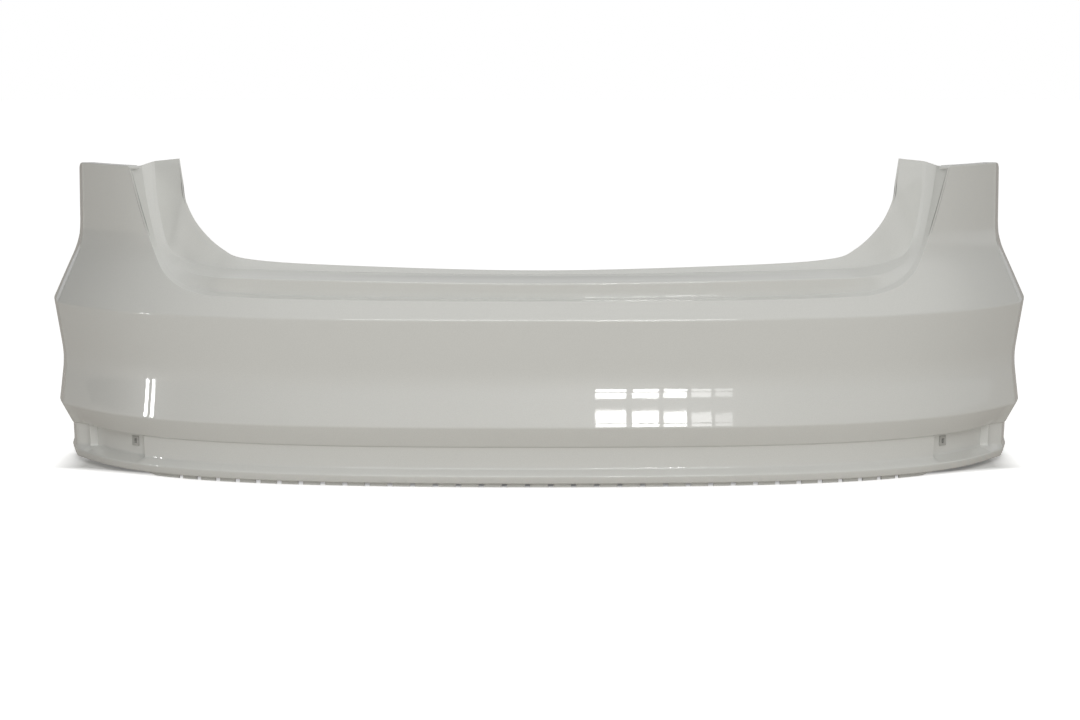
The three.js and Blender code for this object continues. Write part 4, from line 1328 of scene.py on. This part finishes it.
@dataclass
class Studio:
    """Pale floor, soft lights and the camera. Sizes are in metres."""

    rear_y: float
    bounce: tuple[float, float, float] = (0.66, 0.625, 0.58)
    seen_floor: tuple[float, float, float] = (0.93, 0.93, 0.925)
    floor_glow: float = 0.62
    sky: tuple[tuple[float, float], ...] = (
        (0.0, 0.50), (0.10, 0.55), (0.18, 0.22), (0.34, 0.26), (0.48, 0.66), (1.0, 0.50))
    left_shade: float = 0.12
    pane_powers: tuple[float, ...] = (6.0, 6.0, 5.0, 1.6, 1.0)
    side_pane_places: tuple[float, ...] = (-1.16, -0.84)
    distance: float = 4.948
    height: float = 0.750
    pitch_deg: float = 6.14
    lens: float = 100.0
    sensor: float = 36.0

    def camera(self) -> None:
        """Places the camera behind the cover, slightly above it."""
        data = bpy.data.cameras.new("studio_camera")
        data.lens, data.sensor_width = self.lens, self.sensor
        camera = bpy.data.objects.new("studio_camera", data)
        camera.location = (0.0016, self.rear_y - self.distance, self.height)
        camera.rotation_euler = (math.radians(90.0 - self.pitch_deg), 0.0, 0.0)
        bpy.context.scene.collection.objects.link(camera)
        bpy.context.scene.camera = camera

    def floor(self) -> None:
        """Lays a wide pale floor, warm in what it throws back and brighter where it is seen directly."""
        bm = bmesh.new()
        bmesh.ops.create_grid(bm, x_segments=1, y_segments=1, size=30.0)
        material, nodes, shader = start_material("studio_floor")
        path = nodes.add("ShaderNodeLightPath")
        color = mix_colors(nodes, path.outputs["Is Camera Ray"], self.bounce, self.seen_floor)
        nodes.link(color.outputs[2], shader.inputs["Base Color"])
        clear = nodes.math("MULTIPLY", path.outputs["Is Camera Ray"], self._beyond_cover(nodes))
        glow = mix_colors(nodes, clear, (0.0, 0.0, 0.0), (1.0, 1.0, 1.0))
        nodes.link(glow.outputs[2], shader.inputs["Emission Color"])
        nodes.set(shader, Roughness=0.8, Emission_Strength=self.floor_glow)
        finish_mesh(bm, "studio_floor", [material])

    def _beyond_cover(self, nodes: Nodes) -> bpy.types.NodeSocket:
        """Mask of the floor that is 0 under the cover and 1 beyond it.

        Args:
            nodes: the floor material's helper.

        Returns:
            The mask's socket.
        """
        coord = nodes.add("ShaderNodeTexCoord")
        split = nodes.add("ShaderNodeSeparateXYZ")
        nodes.link(coord.outputs["Object"], split.inputs[0])
        squared = nodes.math("MULTIPLY", split.outputs["X"], split.outputs["X"])
        bow = nodes.math("MULTIPLY", squared, 0.33)
        behind = nodes.add("ShaderNodeMapRange")
        nodes.set(behind, From_Min=self.rear_y + 0.055, From_Max=self.rear_y + 0.015)
        nodes.link(nodes.math("SUBTRACT", split.outputs["Y"], bow), behind.inputs["Value"])
        ahead = nodes.add("ShaderNodeMapRange")
        nodes.set(ahead, From_Min=0.25, From_Max=0.6)
        nodes.link(split.outputs["Y"], ahead.inputs["Value"])
        beside = nodes.add("ShaderNodeMapRange")
        nodes.set(beside, From_Min=0.80, From_Max=0.86)
        nodes.link(nodes.math("ABSOLUTE", split.outputs["X"], 0.0), beside.inputs["Value"])
        clear = nodes.math("MAXIMUM", ahead.outputs["Result"], beside.outputs["Result"])
        return nodes.math("MAXIMUM", behind.outputs["Result"], clear)

    def room(self) -> None:
        """Makes the room: bands of light by height, shaded on the left, white where it is seen directly."""
        world = bpy.data.worlds.new("studio_world")
        world.use_nodes = True
        nodes = Nodes(world.node_tree)
        background = world.node_tree.nodes["Background"]
        coord = nodes.add("ShaderNodeTexCoord")
        split = nodes.add("ShaderNodeSeparateXYZ")
        nodes.link(coord.outputs["Generated"], split.inputs[0])
        ramp = nodes.add("ShaderNodeValToRGB")
        ramp.color_ramp.elements[0].position = self.sky[0][0]
        ramp.color_ramp.elements[1].position = self.sky[-1][0]
        for position, _ in self.sky[1:-1]:
            ramp.color_ramp.elements.new(position)
        for element, (_, value) in zip(ramp.color_ramp.elements, self.sky):
            element.color = (value, value, value * 0.985, 1.0)
        nodes.link(split.outputs["Z"], ramp.inputs["Fac"])
        aside = nodes.add("ShaderNodeMapRange")
        nodes.set(aside, From_Min=-0.95, From_Max=-0.35, To_Min=self.left_shade, To_Max=1.0)
        nodes.link(split.outputs["X"], aside.inputs["Value"])
        shaded = nodes.add("ShaderNodeMix", data_type="RGBA", blend_type="MULTIPLY")
        shaded.inputs[0].default_value = 1.0
        nodes.link(ramp.outputs["Color"], shaded.inputs[6])
        nodes.link(aside.outputs["Result"], shaded.inputs[7])
        path = nodes.add("ShaderNodeLightPath")
        seen = nodes.add("ShaderNodeMix", data_type="RGBA")
        nodes.link(path.outputs["Is Camera Ray"], seen.inputs[0])
        nodes.link(shaded.outputs[2], seen.inputs[6])
        seen.inputs[7].default_value = (1.0, 1.0, 1.0, 1.0)
        nodes.link(seen.outputs[2], background.inputs["Color"])
        bpy.context.scene.world = world
        bpy.context.scene.view_settings.view_transform = "Standard"

    def lamp(self, name: str, at: Sequence[float], aim: Sequence[float], size: tuple[float, float],
             power: float, color: Sequence[float] = (1.0, 1.0, 1.0)) -> None:
        """Hangs a soft rectangular lamp that is not seen directly.

        Args:
            name: name of the lamp.
            at: where it hangs.
            aim: what it points at.
            size: width and height.
            power: its power in watts.
            color: its colour.
        """
        data = bpy.data.lights.new(name, "AREA")
        data.shape, data.size, data.size_y = "RECTANGLE", size[0], size[1]
        data.energy, data.color = power, color
        lamp = bpy.data.objects.new(name, data)
        lamp.location = at
        lamp.rotation_euler = (Vector(aim) - Vector(at)).to_track_quat("-Z", "Y").to_euler()
        lamp.visible_camera = False
        bpy.context.scene.collection.objects.link(lamp)

    def lamps(self) -> None:
        """Hangs the ceiling panel, a front panel, the panes of a far window and two tall side panes."""
        self.lamp("ceiling_panel", (0.0, -1.0, 3.4), (0.0, -0.2, 0.2), (5.0, 2.4), 7.0)
        self.lamp("front_panel", (0.0, -6.5, 2.9), (0.0, 0.0, 0.3), (5.0, 1.6), 96.0)
        for column, power in enumerate(self.pane_powers):
            for row in range(2):
                x, z = 0.72 + 0.42 * column, 0.45 + 0.34 * row
                self.lamp(f"pane_{column}_{row}", (x, -7.2, z), (0.2, -0.3, 0.13), (0.34, 0.27), power)
        for number, y in enumerate(self.side_pane_places):
            self.lamp(f"side_pane_{number}", (-5.4, y, 0.36), (-0.7, -0.15, 0.13), (0.16, 0.66), 8.0)


class Fittings:
    """The inner mouldings, sockets, nuts, screws and push rivets, with their finishes."""

    strips = ("centre_guide", "lower_stiffener")
    brackets = ("side_guide", "tail_lamp_bracket", "arch_bracket")
    screws_per_side = 3
    rivets_per_edge = 4

    def __init__(self, groups: Groups) -> None:
        """Makes the finishes.

        Args:
            groups: the shared node groups.
        """
        black = Moulding("black_moulding", (0.018, 0.0185, 0.02), (0.16, 0.155, 0.15))
        socket = Moulding("socket_moulding", (0.50, 0.50, 0.475), (0.42, 0.41, 0.39), dust=0.2)
        nylon = Moulding("nylon_rivet", (0.024, 0.025, 0.027), (0.14, 0.14, 0.14), roughness=0.45,
                         grain_scale=1500.0)
        self.black = black.material(groups)
        self.socket = socket.material(groups)
        self.nylon = nylon.material(groups)
        self.spring = PlatedSteel("spring_steel", (0.30, 0.30, 0.30), (0.46, 0.46, 0.45)).material(groups)
        self.zinc = PlatedSteel("black_zinc", (0.10, 0.105, 0.12), (0.20, 0.21, 0.22)).material(groups)

    def build(self) -> None:
        """Builds every fitting."""
        for name in self.strips:
            bevelled(name, f"{name}_fine", 0.5, [self.black], 1.0)
        for label in ("right", "left"):
            self._side(label)
        for number in range(1, self.rivets_per_edge + 1):
            PushRivet(f"sill_rivet_{number}", 1, self.nylon).build()
            PushRivet(f"bottom_rivet_{number}", -1, self.nylon).build()

    def _side(self, label: str) -> None:
        """Builds the brackets, socket, nuts and screws of one side."""
        for name in self.brackets:
            bevelled(f"{name}_{label}", f"{name}_{label}_fine", 0.5, [self.black], 1.0)
        socket = f"reflector_socket_{label}"
        bevelled(socket, f"{socket}_fine", 0.35, [self.socket])
        for number in range(1, self.screws_per_side + 1):
            nut = f"arch_nut_{label}_{number}"
            bevelled(nut, f"{nut}_fine", 0.15, [self.spring])
            ArchScrew(f"arch_screw_{label}_{number}", self.zinc).build()


def main() -> None:
    """Builds the cover, its fittings and the studio."""
    logging.basicConfig(level=logging.INFO, format="%(name)s %(message)s")
    form = CoverForm()
    rear_y = CAD_BOX[0][1]
    studio = Studio(rear_y=rear_y)
    studio.camera()
    studio.floor()
    studio.room()
    studio.lamps()
    groups = Groups()
    paint = PearlPaint().material(groups)
    inner = Oversprayed().material(groups)
    CoverSkin(form, paint, inner, origin_y=rear_y).build()
    Fittings(groups).build()


if __name__ == "__main__":
    main()
